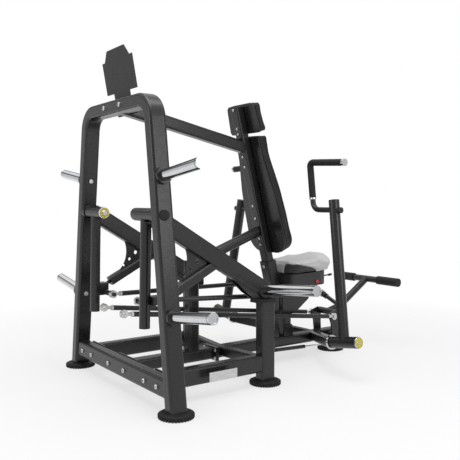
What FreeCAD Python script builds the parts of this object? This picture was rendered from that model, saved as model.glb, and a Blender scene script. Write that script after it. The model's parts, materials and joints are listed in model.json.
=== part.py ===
"""A plate-loaded chest press: a welded and bolted steel frame, two rear weight levers,
two press arms and a foot bar joined by four push rods, a padded back and a height-adjustable seat.

Millimetres. +X is the user's right, +Y is forward from the rear arch to the foot bar, +Z is up.
The shapes are first placed from the line through the rear feet, then every one is moved
so that the origin lies on the floor under the middle of the machine.
"""
import FreeCAD, Part
import math
import os

Vector = FreeCAD.Vector
X_AXIS = Vector(1, 0, 0)
Y_AXIS = Vector(0, 1, 0)
Z_AXIS = Vector(0, 0, 1)

# ---------------------------------------------------------------- driving dimensions
tube_width = 60.0
tube_depth = 80.0
tube_corner = 13.0
tube_wall = 3.0
running_clearance = 0.05
pad_clearance = 0.3
bolt_hole_clearance = 0.5
open_pivot_gap = 0.5

# rear arch: one bent tube whose two uprights lean in towards the top
arch_half_span = 500.0
arch_lean = 0.1363
arch_height = 1337.0
arch_bend_radius = 95.0
foot_radius = 76.0
foot_height = 24.0

# base
base_rail_bottom = 65.0
base_rail_height = 80.0
base_rail_width = 60.0
side_rail_x = 334.5
mid_post_y = 591.5
mid_post_top = 390.0
bumper_top = 411.7
centre_beam_width = 70.0
centre_beam_bottom = 70.0
centre_beam_height = 58.0
centre_beam_end = 1392.0
beam_joint_y = 505.0
flange_thickness = 8.0
top_flange_half_width = 100.0
top_flange_overhang = 3.0
top_bolt_x = 80.0
front_foot_y = 1353.0

# back column, leaning back; distances below run down its rear face from a datum near the top
column_lean = 14.54
column_datum_y = 645.0
column_datum_z = 1344.0
column_width = 60.0
column_depth = 45.0
column_top_reach = 8.0
column_bottom_z = 385.0
pad_plate_thickness = 8.0

# weight levers
lever_pivot_y = -7.0
lever_pivot_z = 819.0
lever_pivot_shaft_radius = 12.5
lever_hub_radius = 28.5
lever_hub_inner_x = 172.0
lever_x = 300.0
lever_end_y = 636.0
lever_slope = 0.6057
swing_arm_x = 262.0
swing_arm_radius = 24.0
swing_arm_bottom_y = -18.0
swing_arm_bottom_z = 327.0
weight_peg_radius = 25.0
weight_peg_y = 595.0
weight_peg_z = 452.0
weight_peg_end_x = 689.0
weight_peg_rise = 35.0
weight_peg_boss_radius = 38.0
weight_peg_boss_height = 3.0

# press arms
press_pivot_x = 505.0
press_pivot_y = 950.0
press_pivot_z = 183.0
press_axis_tilt = 9.5
press_hub_radius = 28.5
press_hub_inner = 78.0
press_hub_outer = 92.0
press_shaft_radius = 12.5
press_arm_radius = 27.0
press_arm_length = 708.0
press_arm_forward_lean = 3.1
handle_height = 830.0
handle_radius = 14.0
grip_radius = 17.5

# push rods, rod ends and their pins
rod_radius = 12.0
rod_end_radius = 19.0
rod_end_thickness = 16.0
rod_end_reach = 46.0
rod_pin_radius = 6.0
upper_eye_rear = Vector(130, 20, 425)
upper_eye_front = Vector(275, 1020, 392)
lower_eye_rear = Vector(106, -39, 369)
lower_eye_front = Vector(92, 1288, 214)

# foot bar
foot_pivot_y = 1316.0
foot_pivot_z = 88.0
foot_plate_x = 70.0
foot_plate_thickness = 8.0
foot_bar_y = 1654.0
foot_bar_z = 396.0
foot_bar_half_length = 250.0
foot_bar_radius = 19.0
foot_grip_radius = 25.0
foot_grip_inner_x = 96.0

# storage pegs on the arch
storage_peg_radius = 24.0
storage_peg_length = 295.0
storage_peg_heights = (404.0, 982.0)
peg_collar_length = 16.0
peg_collar_radius = 36.0

# the ends that the storage pegs and the weight pegs share
peg_cap_length = 11.0
peg_cap_inset = 0.3
peg_groove_width = 3.0
peg_groove_depth = 3.0
peg_dish_depth = 3.0
peg_dish_rim = 5.0
peg_stud_step = 4.0
peg_seat_gap = 1.0

# seat
seat_post_y = 1000.0
seat_post_size = 50.0
seat_sleeve_wall = 5.0
seat_slide_clearance = 0.5
seat_pad_half_width = 150.0
seat_top_z = 545.0
shell_half_width = 118.0
shell_wall = 6.0
shell_front = 1240.0
shell_corner = 95.0
seat_pad_front = 1284.0
seat_pad_corner = 120.0
release_pivot_y = 1176.0
release_pivot_z = 446.0
button_y = 1128.0
button_z = 431.0
button_length = 20.0
button_proud = 6.0
button_travel = 3.0
button_floor_gap = 0.3

# the floor point under the middle of the machine, from the rear feet to the foot bar's grips
middle_y = (foot_bar_y + foot_grip_radius - foot_radius) / 2

nodes = {}


def keep(name, shape):
    """Store one node's shape under its name."""
    nodes[name] = shape


# ---------------------------------------------------------------- shape helpers
def unit(vector):
    """The vector scaled to length 1."""
    copy = Vector(vector)
    copy.normalize()
    return copy


def rounded_outline(centre, across, up, width, height, corner):
    """A closed rounded rectangle about centre, width along across and height along up."""
    half_w = width / 2
    half_h = height / 2
    corner_point = corner * (1 - math.sqrt(0.5))

    def at(a, b):
        return centre + across * a + up * b

    edges = []
    for side_a, side_b in ((1, 1), (-1, 1), (-1, -1), (1, -1)):
        turn_in = at(side_a * half_w, side_b * (half_h - corner))
        turn_out = at(side_a * (half_w - corner), side_b * half_h)
        middle = at(side_a * (half_w - corner_point), side_b * (half_h - corner_point))
        if side_a * side_b < 0:
            turn_in, turn_out = turn_out, turn_in
        edges.append(Part.Arc(turn_in, middle, turn_out).toShape())
    lines = []
    for first, second in zip(edges, edges[1:] + edges[:1]):
        lines.append(Part.LineSegment(first.lastVertex().Point, second.firstVertex().Point).toShape())
    ordered = [edge for pair in zip(edges, lines) for edge in pair]
    return Part.Wire(ordered)


def box_bar(start, end, across, width, height, corner=tube_corner):
    """A solid bar of rounded rectangular section from start to end."""
    along = end - start
    across = unit(across - unit(along) * across.dot(unit(along)))
    up = unit(along).cross(across)
    return Part.Face(rounded_outline(start, across, up, width, height, corner)).extrude(along)


def box_tube(start, end, across, width, height, corner=tube_corner, wall=tube_wall):
    """An open-ended rectangular tube from start to end."""
    outer = box_bar(start, end, across, width, height, corner)
    over = unit(end - start)
    inner = box_bar(start - over, end + over, across, width - 2 * wall, height - 2 * wall, corner - wall)
    return outer.cut(inner)


def round_bar(start, end, radius, bore=0.0):
    """A cylinder from start to end, bored through when bore is given."""
    along = end - start
    bar = Part.makeCylinder(radius, along.Length, start, along)
    if bore > 0:
        bar = bar.cut(Part.makeCylinder(bore, along.Length + 2, start - unit(along), along))
    return bar


def box(low, high):
    """A block between two corners."""
    return Part.makeBox(high[0] - low[0], high[1] - low[1], high[2] - low[2], Vector(*low))


def side_plate(outline, low_x, high_x):
    """A plate whose (y, z) outline stands between two planes across X."""
    points = [Vector(low_x, y, z) for y, z in outline]
    return Part.Face(Part.makePolygon(points + points[:1])).extrude(Vector(high_x - low_x, 0, 0))


def bent_path(points, radii):
    """Straight runs through points, joined by tangent arcs of the given radii."""
    edges = []
    last = points[0]
    for before, corner, after, radius in zip(points, points[1:], points[2:], radii):
        back = unit(before - corner)
        ahead = unit(after - corner)
        half_turn = back.getAngle(ahead) / 2
        reach = radius / math.tan(half_turn)
        first = corner + back * reach
        third = corner + ahead * reach
        bisector = unit(back + ahead)
        second = corner + bisector * (radius / math.sin(half_turn) - radius)
        edges.append(Part.LineSegment(last, first).toShape())
        edges.append(Part.Arc(first, second, third).toShape())
        last = third
    edges.append(Part.LineSegment(last, points[-1]).toShape())
    return Part.Wire(edges)


def plan_block(half_width, rear, front, rear_radius, front_radius):
    """A tall block, rounded at its four upright corners."""
    corners = [
        Vector(0, rear, 0), Vector(half_width, rear, 0), Vector(half_width, front, 0),
        Vector(-half_width, front, 0), Vector(-half_width, rear, 0), Vector(0, rear, 0),
    ]
    outline = bent_path(corners, [rear_radius, front_radius, front_radius, rear_radius])
    return Part.Face(outline).extrude(Vector(0, 0, 900))


def bent_bar(points, radii, radius):
    """A round bar along a bent path."""
    path = bent_path(points, radii)
    start = points[0]
    ring = Part.Wire(Part.makeCircle(radius, start, points[1] - start))
    return path.makePipeShell([ring], True, False)


def hexagon_head(at, axis, across_flats, height):
    """A hexagonal bolt head or nut standing on the point at, along axis."""
    axis = unit(axis)
    aside = X_AXIS if abs(axis.dot(X_AXIS)) < 0.9 else Y_AXIS
    first = unit(axis.cross(aside))
    second = axis.cross(first)
    reach = across_flats / math.sqrt(3)
    corners = []
    for step in range(6):
        angle = math.radians(60 * step)
        corners.append(at + first * (reach * math.cos(angle)) + second * (reach * math.sin(angle)))
    return Part.Face(Part.makePolygon(corners + corners[:1])).extrude(axis * height)


def bolt(at, outward, shank_length, shank_radius=6.0, head_radius=11.0, head_height=8.0):
    """A domed socket screw whose head stands on the surface at the point at."""
    outward = unit(outward)
    head = Part.makeCylinder(head_radius, head_height, at, outward)
    top_edge = [
        edge for edge in head.Edges if abs((edge.CenterOfMass - at).dot(outward) - head_height) < 0.01
    ]
    head = head.makeFillet(head_height * 0.4, top_edge)
    socket = hexagon_head(at + outward * (head_height * 0.45), outward, head_radius * 0.8, head_height)
    shank = Part.makeCylinder(shank_radius, shank_length, at, outward * -1)
    return head.cut(socket).fuse(shank)


def bolt_hole(at, outward, shank_length, shank_radius=6.0):
    """The clearance hole for a bolt's shank."""
    outward = unit(outward)
    reach = shank_length + 1.0
    radius = shank_radius + bolt_hole_clearance
    return Part.makeCylinder(radius, reach + 1.0, at + outward, outward * -1)


def mirrored(shape):
    """The same piece on the user's left."""
    return shape.mirror(Vector(0, 0, 0), X_AXIS)


def both_sides(name, shape):
    """Keep the right-hand piece and its left-hand copy as two nodes."""
    keep("right_" + name, shape)
    keep("left_" + name, mirrored(shape))


def group(shapes):
    """Several separate solids in one node."""
    return Part.makeCompound(shapes)


def pair(shape):
    """A right-hand piece and its mirror image."""
    return [shape, mirrored(shape)]


def plate_peg(base, collar_end, tip, radius):
    """A chrome peg for weight plates: a stud inside the collar, a bare bar, a groove and a dished cap."""
    along = unit(tip - base)
    bar_start = collar_end + along * peg_seat_gap
    cap_start = tip - along * peg_cap_length
    groove_start = cap_start - along * peg_groove_width
    stud = round_bar(base, bar_start, radius - peg_stud_step)
    bar = round_bar(bar_start, groove_start, radius)
    neck = round_bar(groove_start, cap_start, radius - peg_groove_depth)
    cap = round_bar(cap_start, tip, radius - peg_cap_inset)
    dish = round_bar(tip - along * peg_dish_depth, tip + along, radius - peg_dish_rim)
    return bar.fuse([stud, neck, cap]).cut(dish)


# ---------------------------------------------------------------- rear arch, its feet and pegs
def arch_x(z):
    """The upright's centre line, which leans in with height."""
    return arch_half_span - arch_lean * z


def arch_solid(shrink=0.0):
    """The arch's outer form, or its bore when shrink is the wall."""
    top = arch_height - tube_width / 2
    below_floor = -40.0
    path_points = [
        Vector(arch_x(below_floor), 0, below_floor),
        Vector(arch_x(top), 0, top),
        Vector(-arch_x(top), 0, top),
        Vector(-arch_x(below_floor), 0, below_floor),
    ]
    path = bent_path(path_points, [arch_bend_radius, arch_bend_radius])
    along = unit(path_points[1] - path_points[0])
    across = Y_AXIS.cross(along)
    profile = rounded_outline(
        path_points[0], across, Y_AXIS,
        tube_width - 2 * shrink, tube_depth - 2 * shrink, tube_corner - shrink,
    )
    swept = path.makePipeShell([profile], True, False)
    return swept.common(box((-700, -200, foot_height), (700, 200, arch_height + 50)))


arch_outer = arch_solid()
arch_bore = arch_solid(tube_wall)
outward_of_upright = unit(Vector(1, 0, arch_lean))
upright_face = (tube_width / 2) / math.cos(math.atan(arch_lean))


def peg_axis_start(height):
    """Where a storage peg's axis leaves the upright's outer face."""
    return Vector(arch_x(height) + upright_face, 0, height)


storage_pegs = []
peg_collars = []
stud_radius = storage_peg_radius - peg_stud_step
for height in storage_peg_heights:
    base = peg_axis_start(height)
    tip = base + outward_of_upright * storage_peg_length
    collar_end = base + outward_of_upright * peg_collar_length
    peg_collars += pair(round_bar(base, collar_end, peg_collar_radius, stud_radius))
    storage_pegs += pair(plate_peg(base, collar_end, tip, storage_peg_radius))

crossbeam = box((-arch_half_span, -30, base_rail_bottom),
                (arch_half_span, 30, base_rail_bottom + base_rail_height))
crossbeam_edges = [edge for edge in crossbeam.Edges if abs(edge.tangentAt(edge.FirstParameter).x) > 0.9]
crossbeam = crossbeam.makeFillet(tube_corner, crossbeam_edges)
crossbeam_bore = box_bar(
    Vector(-arch_half_span, 0, base_rail_bottom + base_rail_height / 2),
    Vector(arch_half_span, 0, base_rail_bottom + base_rail_height / 2),
    Y_AXIS, 60 - 2 * tube_wall, base_rail_height - 2 * tube_wall, tube_corner - tube_wall)
crossbeam = crossbeam.cut(crossbeam_bore).cut(arch_outer)
crossbeam = max(crossbeam.Solids, key=lambda solid: solid.Volume)

# ---------------------------------------------------------------- base: rails, posts, centre beam
rail_middle_z = base_rail_bottom + base_rail_height / 2
rail_start = 30 + flange_thickness
mid_post_rear = mid_post_y - tube_depth / 2
side_rail = box_tube(Vector(side_rail_x, rail_start, rail_middle_z),
                     Vector(side_rail_x, mid_post_rear, rail_middle_z),
                     X_AXIS, base_rail_width, base_rail_height)
side_bolt_offset = 55.5
flange_half_width = side_bolt_offset + 16
side_flange = box((side_rail_x - flange_half_width, 30, base_rail_bottom),
                  (side_rail_x + flange_half_width, rail_start, base_rail_bottom + base_rail_height))
side_rail = side_rail.fuse(side_flange)

mid_post_foot = Vector(side_rail_x, mid_post_y, foot_height)
mid_post_head = Vector(side_rail_x, mid_post_y, mid_post_top)
mid_post = box_tube(mid_post_foot, mid_post_head, X_AXIS, tube_width, tube_depth)

beam_middle_z = centre_beam_bottom + centre_beam_height / 2
centre_bolt_offset = 82.0
beam_start_y = rail_start
rear_beam = box_tube(Vector(0, beam_start_y, beam_middle_z),
                     Vector(0, beam_joint_y - flange_thickness, beam_middle_z),
                     X_AXIS, centre_beam_width, centre_beam_height)
rear_flange = box((-centre_bolt_offset - 16, 30, base_rail_bottom),
                  (centre_bolt_offset + 16, rail_start, base_rail_bottom + base_rail_height))
joint_half_width = 58.0
joint_half_height = 34.0
joint_flange = box((-joint_half_width, beam_joint_y - flange_thickness, beam_middle_z - joint_half_height),
                   (joint_half_width, beam_joint_y, beam_middle_z + joint_half_height))
rear_beam = rear_beam.fuse(rear_flange).fuse(joint_flange)
front_flange = joint_flange.translated(Vector(0, flange_thickness, 0))
front_beam = box_tube(Vector(0, beam_joint_y + flange_thickness, beam_middle_z),
                      Vector(0, centre_beam_end, beam_middle_z),
                      X_AXIS, centre_beam_width, centre_beam_height)
beam_end_point = Vector(0, centre_beam_end, beam_middle_z)
front_beam_cap = box_bar(beam_end_point, beam_end_point + Y_AXIS * 4,
                         X_AXIS, centre_beam_width, centre_beam_height)
front_beam = front_beam.fuse(front_flange).fuse(front_beam_cap)
foot_spacer = round_bar(
    Vector(0, front_foot_y, foot_height), Vector(0, front_foot_y, centre_beam_bottom), 22,
)
front_beam = front_beam.fuse(foot_spacer)

brace_start = Vector(side_rail_x, mid_post_y, rail_middle_z)
brace_end = Vector(0, beam_joint_y + 50, rail_middle_z)
brace_envelope = box_bar(Vector(0, 0, 0), Vector(0, centre_beam_end, 0), X_AXIS,
                         centre_beam_width, centre_beam_height).translated(Vector(0, 0, beam_middle_z))
mid_post_outer = box_bar(mid_post_foot, mid_post_head, X_AXIS, tube_width, tube_depth)
floor_brace = box_tube(brace_start, brace_end, Z_AXIS, 50, 50, 10).cut([brace_envelope, mid_post_outer])
floor_brace = max(floor_brace.Solids, key=lambda solid: solid.Volume)


def rubber_foot(x, y):
    """A round rubber foot with a ribbed rim."""
    foot = Part.makeCylinder(foot_radius, foot_height, Vector(x, y, 0))
    ribs = 28
    for step in range(ribs):
        angle = 2 * math.pi * step / ribs
        centre = Vector(x + foot_radius * math.cos(angle), y + foot_radius * math.sin(angle), -1)
        foot = foot.cut(Part.makeCylinder(3.0, foot_height - 6, centre))
    return foot


feet = [rubber_foot(0, front_foot_y)]
for foot_x, foot_y in ((arch_half_span - arch_lean * foot_height, 0), (side_rail_x, mid_post_y)):
    feet += [rubber_foot(foot_x, foot_y), rubber_foot(-foot_x, foot_y)]

# ---------------------------------------------------------------- back column, top beam, centre post
lean = math.radians(column_lean)
up_column = Vector(0, -math.sin(lean), math.cos(lean))
off_column = Vector(0, math.cos(lean), math.sin(lean))
column_datum = Vector(0, column_datum_y, column_datum_z)


def on_column(x, off, down):
    """A point off the column's rear face, a distance down it from the datum."""
    return column_datum + X_AXIS * x + off_column * off - up_column * down


def on_column_rear(z):
    """The distance down the rear face at a height."""
    return (column_datum_z - z) / math.cos(lean)


column_length_down = on_column_rear(column_bottom_z)
column = box_tube(on_column(0, column_depth / 2, -column_top_reach),
                  on_column(0, column_depth / 2, column_length_down),
                  X_AXIS, column_width, column_depth, 8)
column_outer = box_bar(on_column(0, column_depth / 2, -column_top_reach),
                       on_column(0, column_depth / 2, column_length_down),
                       X_AXIS, column_width, column_depth, 8)

top_beam_start = Vector(0, 0, arch_height - tube_width / 2)
top_beam_end = Vector(0, 710, 1155)
top_beam = box_tube(
    top_beam_start, top_beam_end, X_AXIS, tube_width, 60,
).cut(arch_outer).cut(column_outer)
top_beam = max(top_beam.Solids, key=lambda solid: solid.Volume)
top_flange_bottom = arch_height - tube_width - top_flange_overhang
top_beam = top_beam.fuse(box(
    (-top_flange_half_width, tube_depth / 2, top_flange_bottom),
    (top_flange_half_width, tube_depth / 2 + flange_thickness, arch_height - tube_corner),
))

centre_post_y = 385.0
centre_post_top = 575.0
strut_from = Vector(0, 800, 710)
strut_to = Vector(0, centre_post_y, 556)
post_section = box_bar(Vector(0, centre_post_y, centre_beam_bottom + centre_beam_height),
                       Vector(0, centre_post_y, centre_post_top), X_AXIS, tube_width, tube_width)
centre_post = box_tube(Vector(0, centre_post_y, centre_beam_bottom + centre_beam_height),
                       Vector(0, centre_post_y, centre_post_top), X_AXIS, tube_width, tube_width)
post_cap = box_bar(Vector(0, centre_post_y, centre_post_top), Vector(0, centre_post_y, centre_post_top + 3),
                   X_AXIS, tube_width, tube_width)
column_strut = round_bar(strut_to, strut_from, 27, 24).cut(column_outer).cut(post_section)
column_strut = max(column_strut.Solids, key=lambda solid: solid.Volume)
centre_post = centre_post.fuse(post_cap).fuse(column_strut)

# sleeve bracket clamped round the column's lower end, and its leg down to the centre beam
sleeve_top = on_column_rear(545)
sleeve_bottom = on_column_rear(400)
sleeve_middle_off = column_depth / 2
sleeve = box_bar(on_column(0, sleeve_middle_off, sleeve_top), on_column(0, sleeve_middle_off, sleeve_bottom),
                 X_AXIS, column_width + 16, column_depth + 16, 10)
sleeve = sleeve.cut(column_outer)
leg_top = on_column(0, column_depth / 2, column_length_down)
leg_base = Vector(0, leg_top.y, centre_beam_bottom + centre_beam_height)
column_leg = box_tube(Vector(0, leg_base.y, leg_base.z), Vector(0, leg_base.y, leg_top.z + 60),
                      X_AXIS, column_width, column_depth, 8)
column_leg = column_leg.cut(column_outer)
column_leg = max(column_leg.Solids, key=lambda solid: solid.Volume)

# ---------------------------------------------------------------- pads and their boards
# half outlines are (x, down) pairs from the top edge to the bottom edge
headrest_half_outline = ((116.0, -21.0), (129.0, 135.0))
headrest_corner_radii = (26.0, 20.0)
back_pad_half_outline = (
    (98.0, 152.0), (102.0, 268.0), (135.0, 439.0), (147.0, 567.0), (157.0, 786.0),
)
back_pad_corner_radii = (18.0, 300.0, 400.0, 400.0, 88.0)
headrest_thickness = 42.0
back_pad_thickness = 60.0
pad_front_round = 14.0
board_inset = 2.0
pad_back_face = column_depth + pad_plate_thickness


def pad_prism(half_outline, radii, low_off, high_off):
    """A solid with a mirrored, rounded outline that lies flat on the column's front face."""
    left = [(-x, down) for x, down in reversed(half_outline)]
    middle = [(0, half_outline[0][1])]
    corners = middle + list(half_outline) + left + middle
    path = [on_column(x, low_off, down) for x, down in corners]
    face = Part.Face(bent_path(path, list(radii) + list(reversed(radii))))
    return face.extrude(off_column * (high_off - low_off))


def pad_board(half_outline, radii):
    """The board behind a pad, a little smaller than the pad."""
    top = half_outline[0][1] + board_inset
    bottom = half_outline[-1][1] - board_inset
    inner = [(x - board_inset, min(max(down, top), bottom)) for x, down in half_outline]
    return pad_prism(inner, radii, column_depth, pad_back_face)


def stuffed_pad(half_outline, radii, thickness):
    """A pad whose front edge is rounded."""
    block = pad_prism(half_outline, radii, pad_back_face + pad_clearance, pad_back_face + thickness)
    front = on_column(0, pad_back_face + thickness, 0)
    rim = []
    for edge in block.Edges:
        if all(abs((vertex.Point - front).dot(off_column)) < 0.01 for vertex in edge.Vertexes):
            rim.append(edge)
    return block.makeFillet(pad_front_round, rim)


headrest = stuffed_pad(headrest_half_outline, headrest_corner_radii, headrest_thickness)
back_pad = stuffed_pad(back_pad_half_outline, back_pad_corner_radii, back_pad_thickness)
headrest_plate = pad_board(headrest_half_outline, headrest_corner_radii)
back_plate = pad_board(back_pad_half_outline, back_pad_corner_radii)

# ---------------------------------------------------------------- placard and its tab
placard_thickness = 3.0
placard_outline = (
    (-153, 42), (-153, 192), (-125, 192), (-88, 240),
    (88, 240), (125, 192), (153, 192), (153, 42),
)
placard_tilt = math.radians(9.9)
placard_foot = Vector(0, 21, arch_height)
placard_up = Vector(0, -math.sin(placard_tilt), math.cos(placard_tilt))
placard_off = Vector(0, -math.cos(placard_tilt), -math.sin(placard_tilt))


def placard_shape(outline):
    """A flat plate that leans back over the arch."""
    corners = [placard_foot + X_AXIS * x + placard_up * rise for x, rise in outline]
    return Part.Face(Part.makePolygon(corners + corners[:1])).extrude(placard_off * placard_thickness)


placard = placard_shape(placard_outline).fuse(
    placard_shape(((-80, 60), (80, 60), (80, -26), (-80, -26)))
)
placard_seat_cut = box((-100, -60, arch_height - 70), (100, 60, arch_height))
placard = placard.cut(placard_seat_cut)

# ---------------------------------------------------------------- weight lever assembly
upright_inner_x = arch_x(lever_pivot_z) - upright_face
hub_outer_x = upright_inner_x - 18.0


def at_pivot(x):
    """A point on the lever pivot's axis."""
    return Vector(x, lever_pivot_y, lever_pivot_z)


shaft_plug_x = arch_x(lever_pivot_z) + upright_face
pivot_boss = round_bar(
    at_pivot(hub_outer_x + 1), at_pivot(upright_inner_x + 12), 33, lever_pivot_shaft_radius,
)
pivot_boss = pivot_boss.cut(arch_outer)
pivot_shaft = round_bar(
    at_pivot(lever_hub_inner_x - 12), at_pivot(shaft_plug_x + 6), lever_pivot_shaft_radius,
)
shaft_plug = round_bar(at_pivot(shaft_plug_x - 1), at_pivot(shaft_plug_x + 6), 21).cut(arch_outer)
shaft_washer = round_bar(at_pivot(lever_hub_inner_x - 8), at_pivot(lever_hub_inner_x - 3), 20)
shaft_bolt_head = hexagon_head(at_pivot(lever_hub_inner_x - 12), X_AXIS * -1, 19, 8)
pivot_shaft = pivot_shaft.fuse([shaft_plug, shaft_washer, shaft_bolt_head])
arch_shaft_hole = round_bar(
    at_pivot(upright_inner_x - 60), at_pivot(shaft_plug_x + 60), lever_pivot_shaft_radius,
)

hub_bore = lever_pivot_shaft_radius + running_clearance
lever_hub = round_bar(at_pivot(lever_hub_inner_x), at_pivot(hub_outer_x), lever_hub_radius, hub_bore)
hub_cap = round_bar(
    at_pivot(lever_hub_inner_x - 2), at_pivot(lever_hub_inner_x), lever_hub_radius - 1.0,
    hub_bore + 8,
)
hub_outer = round_bar(at_pivot(lever_hub_inner_x), at_pivot(hub_outer_x), lever_hub_radius)

lever_end_z = lever_pivot_z - lever_slope * (lever_end_y - lever_pivot_y)
lever_end = Vector(lever_x, lever_end_y, lever_end_z)
lever_along = unit(lever_end - at_pivot(lever_x))
lever_over = lever_end + lever_along * 60
trim_block = box((0, lever_end_y, 0), (900, lever_end_y + 300, 900))
rest_block = box((0, 300, 0), (900, 900, bumper_top))
lever_bar = box_tube(at_pivot(lever_x), lever_over, X_AXIS, tube_width, tube_depth)
lever_bar = lever_bar.cut(trim_block).cut(rest_block).cut(hub_outer)
lever_bar = max(lever_bar.Solids, key=lambda solid: solid.Volume)
lever_outer = box_bar(at_pivot(lever_x), lever_over, X_AXIS, tube_width, tube_depth).cut(rest_block)
lever_skin = lever_outer.cut(trim_block)
rest_plate = lever_skin.common(box((0, 300, bumper_top), (900, 900, bumper_top + 5)))
end_plate = lever_skin.common(box((0, lever_end_y - 5, 0), (900, lever_end_y, 900)))
lever = lever_bar.fuse([rest_plate, end_plate, lever_hub])

swing_top = at_pivot(swing_arm_x)
swing_bottom = Vector(swing_arm_x, swing_arm_bottom_y, swing_arm_bottom_z)
swing_arm = round_bar(swing_bottom, swing_top, swing_arm_radius, swing_arm_radius - 3)
swing_cap = round_bar(swing_bottom, swing_bottom + unit(swing_top - swing_bottom) * 3, swing_arm_radius)
swing_arm = swing_arm.cut(hub_outer).cut(lever_skin)
swing_arm = max(swing_arm.Solids, key=lambda solid: solid.Volume).fuse(swing_cap)
swing_core = round_bar(swing_bottom, swing_top, swing_arm_radius - 1)


def eye_carrier(eye):
    """A block on the swing arm's front and a pin that reaches in to a push rod's eye."""
    pin_start = eye - X_AXIS * (rod_end_thickness / 2 + 8)
    pin = round_bar(pin_start, Vector(eye.x + 16, eye.y, eye.z), rod_pin_radius)
    bar = round_bar(Vector(eye.x + 12, eye.y, eye.z), Vector(swing_arm_x - 6, eye.y, eye.z), 13)
    nut = hexagon_head(pin_start, X_AXIS, 19, 7)
    reach = box(
        (swing_arm_x - 20, min(eye.y, -30), eye.z - 18),
        (swing_arm_x + 10, max(eye.y + 14, 14), eye.z + 18),
    )
    return pin.fuse([bar, nut, reach])


swing_bracket = eye_carrier(upper_eye_rear).fuse(eye_carrier(lower_eye_rear)).cut(swing_core)
swing_bracket = max(swing_bracket.Solids, key=lambda solid: solid.Volume)
brace_lug = box((swing_arm_x - 12, 0, 430), (swing_arm_x + 50, 52, 466)).cut(swing_core)
swing_arm = swing_arm.fuse(swing_bracket).fuse(max(brace_lug.Solids, key=lambda solid: solid.Volume))

brace_low = Vector(lever_x, 82, 466)
brace_high = Vector(lever_x, 330, 595)
lever_brace = box_tube(brace_low, brace_high + unit(brace_high - brace_low) * 60, X_AXIS, 44, 44, 9)
lever_brace = lever_brace.cut(lever_outer)
lever_brace = max(lever_brace.Solids, key=lambda solid: solid.Volume)
brace_plug = box_bar(brace_low, brace_low + unit(brace_high - brace_low) * 6, X_AXIS, 44, 44, 9)
brace_stud = round_bar(brace_low - unit(brace_high - brace_low) * 34, brace_low, 9)
lever_brace = lever_brace.fuse([brace_plug, brace_stud]).cut(swing_arm)
brace_envelope_bar = box_bar(
    brace_low, brace_high + unit(brace_high - brace_low) * 60, X_AXIS, 44, 44, 9,
)

gusset_thickness = 8.0
gusset_top = Vector(0, 147, 700)
gusset_low = Vector(0, 92, 490)
gusset_edge = Part.Arc(gusset_top, Vector(0, 176, 604), gusset_low).toShape()
gusset_corners = [gusset_low, Vector(0, 120, 480), Vector(0, 330, 595), Vector(0, 360, 600), gusset_top]
gusset_wire = Part.Wire([gusset_edge] + [
    Part.LineSegment(first, second).toShape() for first, second in zip(
        gusset_corners, gusset_corners[1:],
    )
])
gusset_shift = Vector(lever_x - gusset_thickness / 2, 0, 0)
lever_gusset = Part.Face(gusset_wire).extrude(X_AXIS * gusset_thickness).translated(gusset_shift)
for hole_y, hole_z, hole_radius in ((160, 543, 6), (193, 574, 8), (228, 607, 10)):
    hole_start = Vector(lever_x - 20, hole_y, hole_z)
    lever_gusset = lever_gusset.cut(Part.makeCylinder(hole_radius, 40, hole_start, X_AXIS))
lever_gusset = lever_gusset.cut(lever_outer).cut(brace_envelope_bar)
lever_gusset = max(lever_gusset.Solids, key=lambda solid: solid.Volume)

front_gusset_outline = (
    (405, 560), (432, 500), (490, 446), (540, bumper_top), (600, bumper_top), (600, 500),
)
front_gussets = []
for offset in (-24, 18):
    plate = side_plate(front_gusset_outline, lever_x + offset, lever_x + offset + 6).cut(lever_outer)
    front_gussets.append(max(plate.Solids, key=lambda solid: solid.Volume))
lever = lever.fuse(front_gussets)

peg_start = Vector(lever_x + tube_width / 2, weight_peg_y, weight_peg_z)
peg_tip = Vector(weight_peg_end_x, weight_peg_y, weight_peg_z + weight_peg_rise)
peg_along = unit(peg_tip - peg_start)
peg_boss_start = peg_start - peg_along * 8
peg_boss_end = peg_start + peg_along * weight_peg_boss_height
lever_body = box_bar(at_pivot(lever_x), lever_over, X_AXIS, tube_width, tube_depth)
weight_peg = plate_peg(peg_boss_start, peg_boss_end, peg_tip, weight_peg_radius).cut(lever_body)
peg_stud_radius = weight_peg_radius - peg_stud_step
peg_boss = round_bar(peg_boss_start, peg_boss_end, weight_peg_boss_radius, peg_stud_radius)
lever = lever.fuse(peg_boss.cut(lever_body))
lever = max(lever.Solids, key=lambda solid: solid.Volume)

rest_pad = box(
    (side_rail_x - 66, mid_post_y - 42, mid_post_top + 6),
    (side_rail_x + 34, mid_post_y + 42, bumper_top - pad_clearance),
)
rest_pad = rest_pad.makeFillet(
    4, [edge for edge in rest_pad.Edges if abs(edge.tangentAt(edge.FirstParameter).z) > 0.9],
)
rest_shelf = box(
    (side_rail_x - 66, mid_post_y - 42, mid_post_top),
    (side_rail_x + 34, mid_post_y + 42, mid_post_top + 6),
)
mid_post = mid_post.fuse(rest_shelf)

# ---------------------------------------------------------------- press arms
tilt = math.radians(press_axis_tilt)
press_axis = Vector(math.cos(tilt), 0, math.sin(tilt))
press_centre = Vector(press_pivot_x, press_pivot_y, press_pivot_z)
forward_lean = math.radians(press_arm_forward_lean)
square_to_axis = Vector(-math.sin(tilt), 0, math.cos(tilt))
arm_along = square_to_axis * math.cos(forward_lean) + Y_AXIS * math.sin(forward_lean)


def on_press_axis(distance):
    """A point on the press arm's pivot axis."""
    return press_centre + press_axis * distance


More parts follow.
